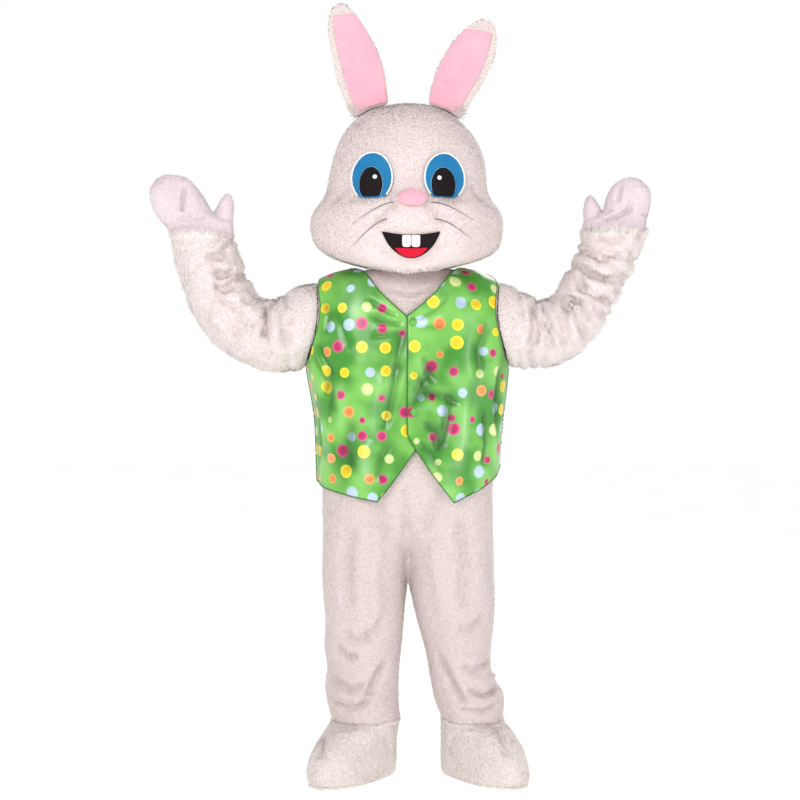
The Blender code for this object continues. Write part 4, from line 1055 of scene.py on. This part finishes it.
@dataclass
class Sleeve:
    """A plush sleeve bent at the elbow.

    Attributes:
        side: "right" or "left".
        creases: its own creases.
        gathers: the furrows across it.
        seed: picks its fur.
        deepen: what the creases' depths are multiplied by.
        pile: its fur.
        cuff_pile: the longer fur at its cuff.
        cuff: how far that reaches from the cuff's edge, in millimetres.
    """

    side: str
    creases: tuple[Crease, ...]
    gathers: tuple[Gather, ...]
    seed: int
    sink: float = 4.0
    thickness: float = 2.5
    swell: float = 2.6
    deepen: float = 1.2
    pile: Pile = Pile(8.5, 3.2, 4.2, 58.0, (0.0, -0.1, -1.0), 0.3)
    cuff_pile: Pile = Pile(18.0, 2.6, 2.6, 76.0)
    cuff: float = 15.0

    def build(self) -> Piece:
        """Builds the sleeve and its fur.

        Returns:
            The sleeve's cloth.
        """
        node = f"sleeve_{self.side}"
        sleeve = outer_skin(f"sleeve_cloth_{self.side}", [node])
        subdivide(sleeve, 3)
        sink(sleeve, self.sink)
        self.gather(sleeve)
        press_creases(sleeve, self.creases, self.deepen)
        ruffle(sleeve, self.swell, 85, self.seed)
        Finish.SLEEVE.on(sleeve)
        self.pile.grow(f"sleeve_fur_{self.side}", sleeve, Finish.SLEEVE, "plush", None, self.seed)
        edge = points_of(sleeve)[:, 2].max() - self.cuff * MM
        pile = replace(self.cuff_pile, comb=(FOREARM[self.side][0], 0.0, FOREARM[self.side][1]))
        pile.grow(f"cuff_fur_{self.side}", sleeve, Finish.SLEEVE, "plush", None, self.seed + 5,
                  within=lambda places: places[:, 2] > edge)
        give_thickness(sleeve, self.thickness)
        hand_over(sleeve, "plush", node)
        return sleeve

    def gather(self, sleeve: Piece) -> None:
        """Draws the furrows round the sleeve and lets it swell between them."""
        points = points_of(sleeve)
        places = np.stack([np.abs(points[:, 0]) / MM, points[:, 2] / MM + SHOULDERS], axis=1)
        depth = points[:, 1] / MM
        nearest = np.full(len(points), np.inf)
        along, across = np.zeros(len(points)), np.zeros(len(points))
        gone = 0.0
        for start, end in zip(ARM, ARM[1:]):
            way = np.array(end) - np.array(start)
            length = float(np.linalg.norm(way))
            way /= length
            offset = places - np.array(start)
            reach = np.clip(offset @ way, 0, length)
            side = offset @ np.array([-way[1], way[0]])
            away = np.linalg.norm(offset - reach[:, None] * way, axis=1)
            closer = away < nearest
            nearest[closer] = away[closer]
            along[closer], across[closer] = gone + reach[closer], side[closer]
            gone += length
        shift = np.zeros(len(points))
        for number, furrow in enumerate(self.gathers):
            wander = sum(
                far * np.sin(where / wave + number * turn)
                for where, (far, wave, turn) in zip((depth, across), WANDERS)
            )
            fall = np.exp(-(((along - furrow.at - furrow.tilt * across - wander) / furrow.width) ** 2))
            lean = np.clip(1 + furrow.lean * across / HALF_ARM, *LEAN_ENDS)
            shift -= fall * lean * furrow.depth
        press(sleeve, shift)


RIGHT_GATHERS = gathers(
    (70, 9, 5, 0.05), (124, 9, 9, 0.0, 0.5), (158, 9, 5, -0.15, 0.8), (196, 10, 6, 0.25, 0.9),
    (240, 9, 7, -0.3, 1.0), (282, 9, 7, 0.2, 0.9), (330, 9, 6, -0.2, 0.8), (376, 9, 6, 0.2, 0.5),
    (414, 8, 5, -0.1, 0.2),
)
LEFT_GATHERS = gathers(
    (44, 8, 5, 0.0), (78, 8, 9, 0.05), (102, 7, 7, -0.1), (136, 8, 9, 0.05, 0.4), (176, 9, 9, 0.3, 0.6),
    (214, 8, 10, 0.1, 0.5), (250, 9, 10, -0.15, 0.0), (290, 8, 9, 0.15, -0.3), (330, 9, 11, -0.1, -0.2),
    (366, 8, 9, 0.1, 0.0), (402, 8, 8, -0.1, -0.2),
)
RIGHT_SLEEVE_CREASES = creases_of(
    (20, 9, -500, 1362, -492, 1310, -494, 1268), (14, 14, -366, 1256, -371, 1210, -372, 1150),
    (20, -6, -352, 1250, -342, 1180, -352, 1110), (20, 9, -392, 1216, -440, 1180, -468, 1148),
    (16, 11, -410, 1262, -452, 1246, -500, 1256), (16, 10, -440, 1300, -470, 1284, -512, 1296),
    (16, 8, -448, 1340, -476, 1318, -500, 1330), (14, -6, -450, 1272, -430, 1240, -400, 1234),
    (15, 8, -456, 1392, -482, 1366, -530, 1372), (22, 7, -300, 1232, -318, 1180, -300, 1120),
    (16, 5, -340, 1118, -390, 1108), (24, -6, -470, 1180, -520, 1214),
) + creases_of(
    (15, 12, -366, 1256, -376, 1206, -372, 1150), (17, 10, -410, 1272, -462, 1240, -516, 1250),
    (17, 9, -440, 1330, -490, 1300, -540, 1312), (17, 8, -470, 1376, -520, 1352, -572, 1366),
    (20, 8, -396, 1206, -440, 1164), (22, 8, -316, 1230, -330, 1170, -312, 1110),
    behind=True,
)
LEFT_SLEEVE_CREASES = creases_of(
    (13, 13, 436, 1352, 474, 1322, 512, 1312, 566, 1322), (14, 14, 430, 1318, 446, 1284, 486, 1262, 540, 1252),
    (13, 8, 440, 1336, 452, 1300, 470, 1282), (12, 10, 398, 1274, 424, 1258, 456, 1250),
    (17, 13, 404, 1262, 430, 1214, 462, 1170, 476, 1136), (15, 10, 446, 1262, 462, 1220, 490, 1196),
    (17, 12, 353, 1222, 368, 1166, 380, 1112), (15, 9, 384, 1240, 402, 1180, 410, 1124),
    (14, -6, 412, 1236, 434, 1190, 430, 1140), (14, 11, 452, 1386, 496, 1362, 560, 1372),
    (14, 9, 470, 1420, 520, 1406, 580, 1420), (13, 12, 590, 1432, 612, 1418), (13, 12, 570, 1378, 598, 1362),
    (13, 11, 552, 1330, 580, 1318), (13, 9, 536, 1290, 560, 1272), (20, 8, 320, 1262, 334, 1200, 326, 1130),
    (18, -5, 288, 1230, 296, 1170, 288, 1116), (16, 7, 470, 1228, 520, 1214),
) + creases_of(
    (17, 12, 384, 1258, 420, 1196, 468, 1150), (16, 12, 430, 1310, 480, 1268, 546, 1266),
    (15, 10, 446, 1362, 500, 1330, 574, 1344), (17, 10, 346, 1226, 372, 1166, 378, 1112),
    (14, 9, 456, 1410, 520, 1392, 590, 1400), (20, 8, 310, 1240, 324, 1180, 312, 1120),
    behind=True,
)


@dataclass
class Mitten:
    """A stuffed-looking glove of palm, back and thumb, sewn together and tucked into its sleeve.

    Attributes:
        side: "right" or "left".
        creases: its finger lines.
        seed: picks its fur.
        deepen: what the lines' depths are multiplied by.
        voxel: how fine its mesh is, in millimetres.
        pile: its nap.
        tucked: how far it reaches into the sleeve, in millimetres.
        taper: what its sizes shrink to in there.
        root: how far the thumb's root reaches into the hand, along the arm and across it, in metres.
    """

    side: str
    creases: tuple[Crease, ...]
    seed: int
    deepen: float = 1.1
    voxel: float = 3.7
    pile: Pile = Pile(4.5, 2.7, 3.7, 40.0, (0.0, 0.0, -1.0), 0.5)
    tucked: float = 18.0
    taper: tuple[float, float, float] = (0.80, 0.62, 0.80)
    root: tuple[float, float] = (0.010, 0.004)

    def build(self, covers: BVHTree) -> Piece:
        """Builds the mitten and its nap.

        Args:
            covers: the sleeves, inside which no nap grows.

        Returns:
            The mitten's cloth.
        """
        palm, back, thumb = (f"mitten_{part}_{self.side}" for part in ("palm", "back", "thumb"))
        mitten = outer_skin(f"mitten_cloth_{self.side}", [palm, back], 62.0)
        x, z = FOREARM[self.side]
        into_sleeve = -Vector((x, 0, z)).normalized() * self.tucked
        with editing(mitten):
            bpy.ops.mesh.select_mode(type="EDGE")
            bpy.ops.mesh.select_all(action="DESELECT")
            bpy.ops.mesh.select_non_manifold(
                extend=False, use_wire=False, use_multi_face=False, use_non_contiguous=False, use_verts=False
            )
            bpy.ops.mesh.extrude_region_move(TRANSFORM_OT_translate={"value": into_sleeve * MM})
            bpy.ops.transform.resize(value=self.taper)
            bpy.ops.mesh.fill_holes(sides=0)
        stub = copy_of(thumb, "thumb")
        self.plump(stub)
        joined([mitten, stub])
        modify(mitten, "REMESH", mode="VOXEL", voxel_size=self.voxel * MM, use_smooth_shade=True)
        modify(mitten, "SMOOTH", factor=0.6, iterations=10)
        press_creases(mitten, self.creases, self.deepen)
        sink(mitten, 1.2)
        ruffle(mitten, 0.8, 45, self.seed)
        Finish.MITTEN.on(mitten)
        self.pile.grow(f"mitten_nap_{self.side}", mitten, Finish.MITTEN, "mitten_plush", covers, self.seed, 12.0)
        hand_over(mitten, "mitten_plush", palm, back, thumb)
        return mitten

    def plump(self, stub: Piece) -> None:
        """Rounds the thumb and lets its root reach into the hand."""
        only(stub)
        points = points_of(stub)
        low = points[:, 2].min()
        root = 1 - ease(0.0, 0.45, (points[:, 2] - low) / np.ptp(points[:, 2]))
        x, z = FOREARM[self.side]
        along = np.array([x, 0.0, z])
        away = np.array([math.copysign(1.0, x), 0.0, 0.0])
        points -= (along * self.root[0] - away * self.root[1]) * root[:, None]
        put_points(stub, points)
        subdivide(stub, 2)


RIGHT_MITTEN_CREASES = creases_of(
    (9, 11, -578, 1560, -584, 1520, -588, 1478), (11, 6, -560, 1490, -572, 1470, -604, 1462),
    (11, 6, -528, 1476, -552, 1462),
) + creases_of(
    (9, 9, -578, 1560, -584, 1520, -590, 1478), (10, 6, -548, 1490, -580, 1474, -612, 1484),
    behind=True,
)
LEFT_MITTEN_CREASES = creases_of(
    (9, 10, 553, 1566, 548, 1536, 540, 1508), (10, 11, 500, 1466, 536, 1470, 586, 1496),
    (10, 6, 580, 1520, 574, 1490, 560, 1470),
) + creases_of(
    (9, 9, 553, 1566, 548, 1530, 542, 1490), (10, 6, 520, 1476, 556, 1466, 592, 1480),
    behind=True,
)


@dataclass
class FootCover:
    """A plush foot cover on a flat sole.

    Attributes:
        side: "right" or "left".
        creases: its folds.
        seed: picks its fur.
        pile: its fur.
        deepen: what its folds' depths are multiplied by.
        rim_pile: the longer fur that hangs over the sole's edge.
        rim: how high that reaches, over the floor.
        sole_inset: how much smaller the sole is than the foot cover's underside.
        lowest: the height of the cloth's underside.
        thickness: the cloth's own, with its lining.
    """

    side: str
    creases: tuple[Crease, ...]
    seed: int
    sink: float = 3.0
    pile: Pile = Pile(8.0, 3.2, 4.1, 58.0, (0.0, -0.3, -1.0), 0.3)
    deepen: float = 1.3
    rim_pile: Pile = Pile(12.0, 2.8, 2.8, 80.0, (0.0, -0.1, -1.0), 0.3)
    rim: float = 17.0
    sole_inset: float = 0.955
    lowest: float = 7.3
    thickness: float = 5.0

    def build(self, covers: BVHTree) -> Piece:
        """Builds the foot cover, its fur and its sole.

        Args:
            covers: the suit, inside which no fur grows.

        Returns:
            The foot cover's cloth.
        """
        node = f"foot_upper_{self.side}"
        upper = outer_skin(f"foot_cloth_{self.side}", [node], 50.0)
        subdivide(upper, 2)
        sink(upper, self.sink)
        press_creases(upper, self.creases, self.deepen)
        ruffle(upper, 1.5, 90, self.seed)
        points = points_of(upper)
        points[:, 2] = np.maximum(points[:, 2], level(self.lowest))
        put_points(upper, points)
        Finish.FOOT.on(upper)
        self.pile.grow(f"foot_fur_{self.side}", upper, Finish.FOOT, "foot_plush", covers, self.seed, 14.0)
        self.rim_pile.grow(f"foot_rim_{self.side}", upper, Finish.FOOT, "foot_plush", None, self.seed + 5,
                           within=lambda places: places[:, 2] < level(self.rim))
        give_thickness(upper, self.thickness)
        hand_over(upper, "foot_plush", node)
        self.build_sole()
        return upper

    def build_sole(self) -> None:
        """Builds the sole with a rounded edge."""
        node = f"foot_sole_{self.side}"
        sole = copy_of(node, f"sole_{self.side}")
        points = points_of(sole)
        middle = (points.max(axis=0) + points.min(axis=0)) / 2
        points[:, :2] = middle[:2] + (points[:, :2] - middle[:2]) * self.sole_inset
        put_points(sole, points)
        modify(sole, "BEVEL", width=2.2 * MM, segments=2, limit_method="ANGLE", angle_limit=math.radians(50))
        Finish.SOLE.on(sole)
        hand_over(sole, "sole", node)


RIGHT_FOOT_CREASES = creases_of(
    (16, 9, -196, 180, -218, 124, -232, 66), (14, 6, -160, 176, -120, 158, -84, 172),
    (16, 5, -60, 120, -50, 80, -52, 50), (26, -4, -170, 120, -120, 132, -70, 116),
) + creases_of(
    (14, 6, -196, 150, -130, 166, -70, 150),
    behind=True,
)
LEFT_FOOT_CREASES = creases_of(
    (16, 8, 214, 160, 246, 116, 262, 74), (14, 6, 130, 176, 170, 158, 216, 170),
    (16, 6, 126, 130, 112, 90, 108, 56), (26, -4, 130, 118, 180, 134, 226, 116),
) + creases_of(
    (14, 6, 130, 150, 176, 166, 230, 150),
    behind=True,
)
FACE_FOLDS = creases_of(
    (17, 8, -26, 1500, -58, 1480, -88, 1440), (17, 8, 36, 1500, 66, 1480, 96, 1440),
    (15, -5, -168, 1496, -104, 1484, -44, 1496), (15, -5, 176, 1496, 112, 1484, 52, 1496),
    (22, 6, -118, 1412, -60, 1362, 4, 1346, 68, 1362, 126, 1412), (14, -4, -60, 1345, 4, 1330, 70, 1345),
    (22, 5, -150, 1560, -176, 1520, -206, 1508), (22, 5, 158, 1560, 184, 1520, 214, 1508),
    (18, -3, -60, 1480, -40, 1460, -12, 1450), (18, -3, 70, 1480, 50, 1460, 22, 1450),
)


@dataclass
class Head:
    """The foam head under its plush, with ears, eyes, nose, mouth and whiskers."""

    sink: float = 3.5
    pile: Pile = Pile(6.8, 2.8, 3.95, 60.0, (0.0, -0.1, -1.0), 0.2)
    fluff: Pile = Pile(11.0, 2.4, 2.2, 40.0, (0.0, -0.2, 1.0), 0.3)
    jaw_pile: Pile = Pile(15.0, 2.8, 2.8, 80.0, (0.0, 0.0, -1.0), 0.25)
    jaw: float = 12.0
    ear_root_pile: Pile = Pile(12.0, 2.6, 2.4, 30.0, (0.0, 0.0, 1.0), 0.4)
    ear_root: float = 9.0
    deepen: float = 1.25
    ear_base_pile: Pile = Pile(17.0, 2.4, 2.2, 48.0, (0.0, -0.2, 1.0), 0.35)
    ear_base: float = 7.0
    ear_pile: Pile = Pile(6.5, 2.7, 3.1, 58.0, (0.0, 0.0, 1.0), 0.3)
    eye_floor: float = 1513.0
    fluff_reach: tuple[tuple[float, float], ...] = ((-140.0, -40.0), (42.0, 140.0))
    fluff_band: tuple[float, float] = (1493.0, 1502.5)
    thickness: float = 9.0
    halo: float = 2.1
    thread: float = 0.9
    whisker: float = 1.0
    whisker_arch: float = 9.0
    whisker_peak: float = 0.8
    whisker_ends: tuple[float, float] = (1.35, 0.4)

    def build(self) -> Piece:
        """Builds the shell, its features and its fur.

        Returns:
            The shell.
        """
        head = outer_skin("head_shell", ["head_front", "head_back"], 62.0)
        subdivide(head, 2)
        sink(head, self.sink)
        press_creases(head, FACE_FOLDS, self.deepen)
        pieces = self.dress()
        covers = tree_of(*pieces)
        ears = tree_of(*(piece for piece in pieces if piece.name.startswith("ear_")))
        Finish.HEAD.on(head)
        self.pile.grow("head_fur", head, Finish.HEAD, "plush", covers, 31, 14.0)
        self.fluff.grow("eye_fluff", head, Finish.HEAD, "plush", covers, 32, 14.0, self.under_eyes)
        low = points_of(head)[:, 2].min() + self.jaw * MM
        self.jaw_pile.grow("jaw_fur", head, Finish.HEAD, "plush", None, 33, within=lambda places: places[:, 2] < low)

        def beside_ears(places: np.ndarray) -> np.ndarray:
            """Tells which places lie close round the ears."""
            return np.array([ears.find_nearest(Vector(place), self.ear_root * MM)[0] is not None for place in places])

        self.ear_root_pile.grow("ear_root_fur", head, Finish.HEAD, "plush", covers, 34, 14.0, beside_ears)
        give_thickness(head, self.thickness)
        hand_over(head, "plush", "head_front", "head_back")
        return head

    def under_eyes(self, places: np.ndarray) -> np.ndarray:
        """Tells which places lie in the two bands just under the eyes."""
        x, height = places[:, 0] / MM, places[:, 2] / MM + SHOULDERS
        inside = np.zeros(len(places), bool)
        for low, high in self.fluff_reach:
            inside |= (x > low) & (x < high)
        return inside & (places[:, 1] < 0) & (height > self.fluff_band[0]) & (height < self.fluff_band[1])

    def dress(self) -> list[Piece]:
        """Builds what lies on the face, and the ears."""
        made = []
        for side in ("right", "left"):
            made.append(self.patch(f"eye_blue_{side}", Finish.BLUE, "blue_felt"))
            self.edge(f"eye_blue_{side}", f"eye_halo_{side}", self.halo, Finish.WHITE, "white_felt")
            made.append(self.patch(f"eye_pupil_{side}", Finish.BLACK, "black_felt"))
            self.edge(f"eye_pupil_{side}", f"pupil_thread_{side}", self.thread, Finish.THREAD, "blue_felt")
            self.patch(f"eye_glint_{side}", Finish.WHITE, "white_felt")
            self.patch(f"tooth_{side}", Finish.TOOTH, "white_felt")
        made.append(self.patch("nose", Finish.PINK, "pink_plush", 2))
        made.append(self.patch("mouth", Finish.BLACK, "black_felt"))
        self.patch("tongue", Finish.RED, "red_felt")
        for name in ("left_lower", "left_upper", "right_lower", "right_upper"):
            self.bristle(f"whisker_{name}")
        for side in ("right", "left"):
            made += self.ear(side)
        return made

    def patch(self, node: str, finish: Finish, slot: str, levels: int = 1) -> Piece:
        """Rounds one piece of the face and gives it its finish."""
        piece = copy_of(node, f"{node}_piece")
        modify(piece, "BEVEL", width=0.5 * MM, segments=1, limit_method="ANGLE", angle_limit=math.radians(50))
        subdivide(piece, levels)
        finish.on(piece)
        hand_over(piece, slot, node)
        return piece

    def edge(self, node: str, name: str, radius: float, finish: Finish, slot: str) -> None:
        """Lays a cord round the upper part of an eye piece's outline.

        Args:
            node: the eye piece's node.
            name: the cord's name.
            radius: the cord's, in millimetres.
            finish: the cord's finish.
            slot: passed on to hand_over, which doesn't use it.
        """
        sheet = copy_of(node, f"{name}_source")
        keep_outer_sheet(sheet, 50.0)
        cord = rim_cord(sheet, name, radius, finish, lowest=self.eye_floor)
        bpy.data.objects.remove(sheet)
        hand_over(cord, slot)

    def bristle(self, node: str) -> None:
        """Builds one bristle whisker, arched and tapering to its tip."""
        places = [vert.co.copy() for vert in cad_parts[node].data.vertices]
        side = 1 if "left" in node else -1
        places.sort(key=lambda place: place.x * side)
        few = max(1, len(places) // 8)
        root, tip = (sum(end, Vector()) / few for end in (places[:few], places[-few:]))
        line = bpy.data.curves.new(node, "CURVE")
        line.dimensions = "3D"
        line.bevel_depth = self.whisker * MM
        line.bevel_resolution = 2
        line.use_fill_caps = True
        steps = 14
        spline = line.splines.new("POLY")
        spline.points.add(steps)
        for number, point in enumerate(spline.points):
            share = number / steps
            arch = math.sin(math.pi * share**self.whisker_peak) * self.whisker_arch * MM
            place = root.lerp(tip, share) + Vector((0, -arch * 0.25, arch))
            point.co = (*place, 1.0)
            point.radius = self.whisker_ends[0] + (self.whisker_ends[1] - self.whisker_ends[0]) * share
        piece = new_piece(f"{node}_bristle", line)
        only(piece)
        bpy.ops.object.convert(target="MESH")
        piece = bpy.context.view_layer.objects.active
        Finish.BRISTLE.on(piece)
        hand_over(piece, "bristle", node)

    def ear(self, side: str) -> list[Piece]:
        """Builds one padded ear with its pink panel and fur."""
        ear = copy_of(f"ear_{side}", f"ear_pad_{side}")
        subdivide(ear, 2)
        Finish.HEAD.on(ear)
        panel = copy_of(f"ear_inner_{side}", f"ear_panel_{side}")
        subdivide(panel, 2)
        Finish.PINK.on(panel)
        sink(ear, 2.0)
        middle = points_of(ear)[:, 1].mean()
        self.ear_pile.grow(f"ear_fur_{side}", ear, Finish.HEAD, "plush", tree_of(panel), 41, 8.0)
        low = points_of(panel)[:, 2].min() + self.ear_base * MM
        self.ear_base_pile.grow(f"ear_base_fur_{side}", ear, Finish.HEAD, "plush", None, 42,
                                within=lambda places: (places[:, 2] < low) & (places[:, 1] < middle))
        hand_over(ear, "plush", f"ear_{side}")
        hand_over(panel, "pink_plush", f"ear_inner_{side}")
        return [ear, panel]


@dataclass
class Waistcoat:
    """The dotted satin waistcoat: two fronts, a back, dark bound edges and two covered buttons."""

    thickness: float = 1.4
    edging: float = 1.3
    lap: float = 2.2
    corner: float = 32.0
    deepen: float = 0.8
    front_creases: tuple[Crease, ...] = creases_of(
        (15, 11, -256, 1126, -232, 1080, -214, 1040, -222, 985), (14, 8, -236, 1150, -214, 1100, -190, 1060),
        (17, 9, -205, 1092, -200, 1010, -212, 920), (20, -6, -180, 1066, -172, 980, -180, 900),
        (17, 9, -24, 1110, -44, 1010, -66, 910), (15, 7, -10, 1190, -26, 1120, -34, 1060),
        (24, -6, -58, 1080, -80, 990, -96, 900), (9, 8, -110, 1262, -66, 1230, -26, 1206),
        (8, -5, -92, 1236, -56, 1218, -20, 1198), (9, 8, -104, 1214, -60, 1202, -14, 1190),
        (9, -4, -92, 1182, -50, 1182, -12, 1180), (9, 6, -100, 1160, -56, 1164, -12, 1176),
        (24, 8, -140, 960, -156, 880, -142, 800), (18, 9, -50, 900, -76, 850, -84, 780),
        (20, -7, -100, 900, -112, 850, -110, 790), (15, 10, -236, 960, -228, 880, -236, 820),
        (15, -6, -214, 900, -200, 850, -204, 810), (22, 6, -196, 1240, -170, 1190, -150, 1120),
        (16, 8, -222, 1260, -206, 1220, -214, 1160), (9, 8, 104, 1262, 66, 1228, 22, 1202),
        (9, -5, 92, 1222, 56, 1206, 22, 1192), (9, 7, 100, 1186, 60, 1186, 20, 1184),
        (14, 12, 2, 988, 44, 1016, 100, 1006, 140, 980), (12, 9, 4, 1006, 36, 1040, 62, 1090),
        (14, -6, 8, 966, 60, 984, 96, 962), (14, 9, 34, 1120, 50, 1070, 72, 1034),
        (10, 6, 6, 1080, 30, 1044, 48, 1020), (20, 11, 112, 1030, 100, 940, 80, 850),
        (20, -8, 146, 1010, 140, 900, 118, 806), (16, 11, 196, 990, 204, 880, 192, 810),
        (12, -6, 222, 940, 226, 880, 222, 820), (15, 9, 246, 1100, 230, 1000, 238, 900),
        (20, 8, 216, 1210, 180, 1130, 190, 1050), (22, -5, 160, 1180, 150, 1110, 166, 1040),
        (14, 9, 30, 950, 66, 920, 76, 860), (16, 7, 20, 900, 60, 860, 90, 800),
        (18, 5, 200, 1256, 140, 1246, 110, 1262),
    )
    back_creases: tuple[Crease, ...] = creases_of(
        (18, 10, -206, 1130, -210, 1000, -198, 870), (20, -6, -160, 1050, -150, 940, -160, 840),
        (22, 10, -116, 1010, -130, 900, -116, 800), (26, 7, -60, 1190, -74, 1080, -60, 980),
        (18, -6, -20, 950, -28, 860, -20, 800), (22, 6, 20, 1120, 10, 1040, 18, 960),
        (20, 10, 54, 970, 62, 880, 52, 800), (20, -5, 100, 1180, 112, 1100, 96, 1020),
        (22, 9, 134, 1140, 120, 1040, 136, 920), (16, 10, 196, 1080, 208, 960, 196, 850),
        (18, 7, -186, 1246, -120, 1222, -50, 1232), (18, 7, 186, 1246, 124, 1220, 56, 1230),
        (20, 5, -70, 1210, 0, 1196, 76, 1208),
        behind=True,
    )

    def build(self) -> list[Piece]:
        """Builds the panels, edges and buttons.

        Returns:
            The panels.
        """
        parts = (
            ("vest_front_left", self.front_creases, (0.44, 0.63), 0.19, 3),
            ("vest_front_right", self.front_creases, (0.44, 0.63), 0.19, 3),
            ("vest_back", self.back_creases, (0.82, 0.60), 0.36, 2),
        )
        panels: list[Piece] = []
        for number, (name, creases, _, _, levels) in enumerate(parts):
            panel = outer_skin(f"{name}_cloth", [name], 50.0)
            keep_corners(panel, self.corner)
            subdivide(panel, levels)
            self.lay_flat(panel, number)
            press_creases(panel, creases, self.deepen)
            ruffle(panel, 2.6, 90, 3, 0.4)
            if name == "vest_front_right":
                tuck(panel, tree_of(panels[0]), self.thickness + self.lap)
            Finish.SATIN.on(panel)
            panels.append(panel)
        for panel, (name, *_) in zip(panels, parts):
            others = rim_points(*(other for other in panels if other != panel))
            hand_over(rim_cord(panel, f"{name}_edge", self.edging, Finish.EDGING, others), "green_satin")
        for panel, (name, _, flat, area, _) in zip(panels, parts):
            give_thickness(panel, self.thickness)
            hand_over(panel, "green_satin", name)
        for name in ("button_upper", "button_lower"):
            self.button(name)
        return panels

    def lay_flat(self, panel: Piece, number: int) -> None:
        """Unwraps a panel to a UV map in metres, so that the dots keep their size.

        Args:
            panel: the panel's sheet.
            number: the panel's place on the cloth, which gives each panel dots of its own.
        """
        while panel.data.uv_layers:
            panel.data.uv_layers.remove(panel.data.uv_layers[0])
        panel.data.uv_layers.new(name="cloth")
        with editing(panel):
            bpy.ops.uv.unwrap(method="CONFORMAL", margin=0.0, correct_aspect=False)
        layer = panel.data.uv_layers["cloth"]
        flat = np.empty(len(panel.data.loops) * 2)
        layer.data.foreach_get("uv", flat)
        flat = flat.reshape(-1, 2)
        mesh = panel.data
        mesh.calc_loop_triangles()
        loops = np.empty(len(mesh.loop_triangles) * 3, np.int32)
        mesh.loop_triangles.foreach_get("loops", loops)
        corners = flat[loops].reshape(-1, 3, 2)
        one, other = corners[:, 1] - corners[:, 0], corners[:, 2] - corners[:, 0]
        flat_area = np.abs(one[:, 0] * other[:, 1] - one[:, 1] * other[:, 0]).sum() / 2
        real_area = sum(face.area for face in mesh.polygons)
        flat *= math.sqrt(real_area / flat_area)
        flat += np.array([1.37, 0.83]) * (number + 1)
        layer.data.foreach_set("uv", flat.ravel())

    def button(self, name: str) -> None:
        """Builds a small covered button."""
        button = copy_of(name, f"{name}_cover")
        subdivide(button, 2)
        Finish.COVER.on(button)
        hand_over(button, "green_satin", name)


CAMERA_PLACE = (-21.0, -4500.0, 1100.0)
CAMERA_DOWN = 1.34  # degrees
CAMERA_LENS = 76.3
DAYLIGHT = 0.71
LIGHTS = (
    ("key", (-1500, -3700, 2300), 1.4, 60.0),
    ("fill", (2600, -2900, 1300), 2.2, 34.0),
    ("rim", (900, 2600, 3000), 1.8, 26.0),
)


def build_stage() -> None:
    """Makes the floor, the lights and the camera."""
    bpy.ops.mesh.primitive_circle_add(vertices=96, radius=14.0, fill_type="NGON", location=spot(0, 0, -0.5))
    floor = bpy.context.view_layer.objects.active
    floor.name = "floor"
    Finish.FLOOR.on(floor)
    world = bpy.data.worlds.new("studio")
    bpy.context.scene.world = world
    world.use_nodes = True
    tree = world.node_tree
    seen = tree.nodes["Background"]
    lighting = tree.nodes.new("ShaderNodeBackground")
    for back, strength in ((seen, 1.0), (lighting, DAYLIGHT)):
        back.inputs["Color"].default_value = (1.0, 1.0, 1.0, 1.0)
        back.inputs["Strength"].default_value = strength
    ray = tree.nodes.new("ShaderNodeLightPath")
    choose = tree.nodes.new("ShaderNodeMixShader")
    tree.links.new(ray.outputs["Is Camera Ray"], choose.inputs[0])
    tree.links.new(lighting.outputs[0], choose.inputs[1])
    tree.links.new(seen.outputs[0], choose.inputs[2])
    tree.links.new(choose.outputs[0], tree.nodes["World Output"].inputs["Surface"])
    for name, place, size, power in LIGHTS:
        light = bpy.data.lights.new(name, "AREA")
        light.energy, light.size = power, size
        lamp = bpy.data.objects.new(name, light)
        bpy.context.scene.collection.objects.link(lamp)
        lamp.location = spot(*place)
        lamp.rotation_euler = (spot(0, 0, 1150) - lamp.location).to_track_quat("-Z", "Y").to_euler()
    camera_data = bpy.data.cameras.new("camera")
    camera_data.lens = CAMERA_LENS
    camera = bpy.data.objects.new("camera", camera_data)
    bpy.context.scene.collection.objects.link(camera)
    camera.location = spot(*CAMERA_PLACE)
    camera.rotation_euler = (math.radians(90 - CAMERA_DOWN), 0, 0)
    bpy.context.scene.camera = camera
    bpy.context.scene.view_settings.view_transform = "Standard"


def main() -> None:
    """Builds the costume over its frame, piece by piece."""
    logging.basicConfig(level=logging.INFO, format="%(name)s: %(message)s")
    build_stage()
    panels = Waistcoat().build()
    sleeves = [
        Sleeve("right", RIGHT_SLEEVE_CREASES, RIGHT_GATHERS, 21).build(),
        Sleeve("left", LEFT_SLEEVE_CREASES, LEFT_GATHERS, 22).build(),
    ]
    head = Head().build()
    suit = Suit().build(tree_of(*panels, *sleeves, head))
    around_hands = tree_of(*sleeves)
    Mitten("right", RIGHT_MITTEN_CREASES, 51).build(around_hands)
    Mitten("left", LEFT_MITTEN_CREASES, 52).build(around_hands)
    around_feet = tree_of(suit)
    FootCover("right", RIGHT_FOOT_CREASES, 61).build(around_feet)
    FootCover("left", LEFT_FOOT_CREASES, 62).build(around_feet)


if __name__ == "__main__":
    main()
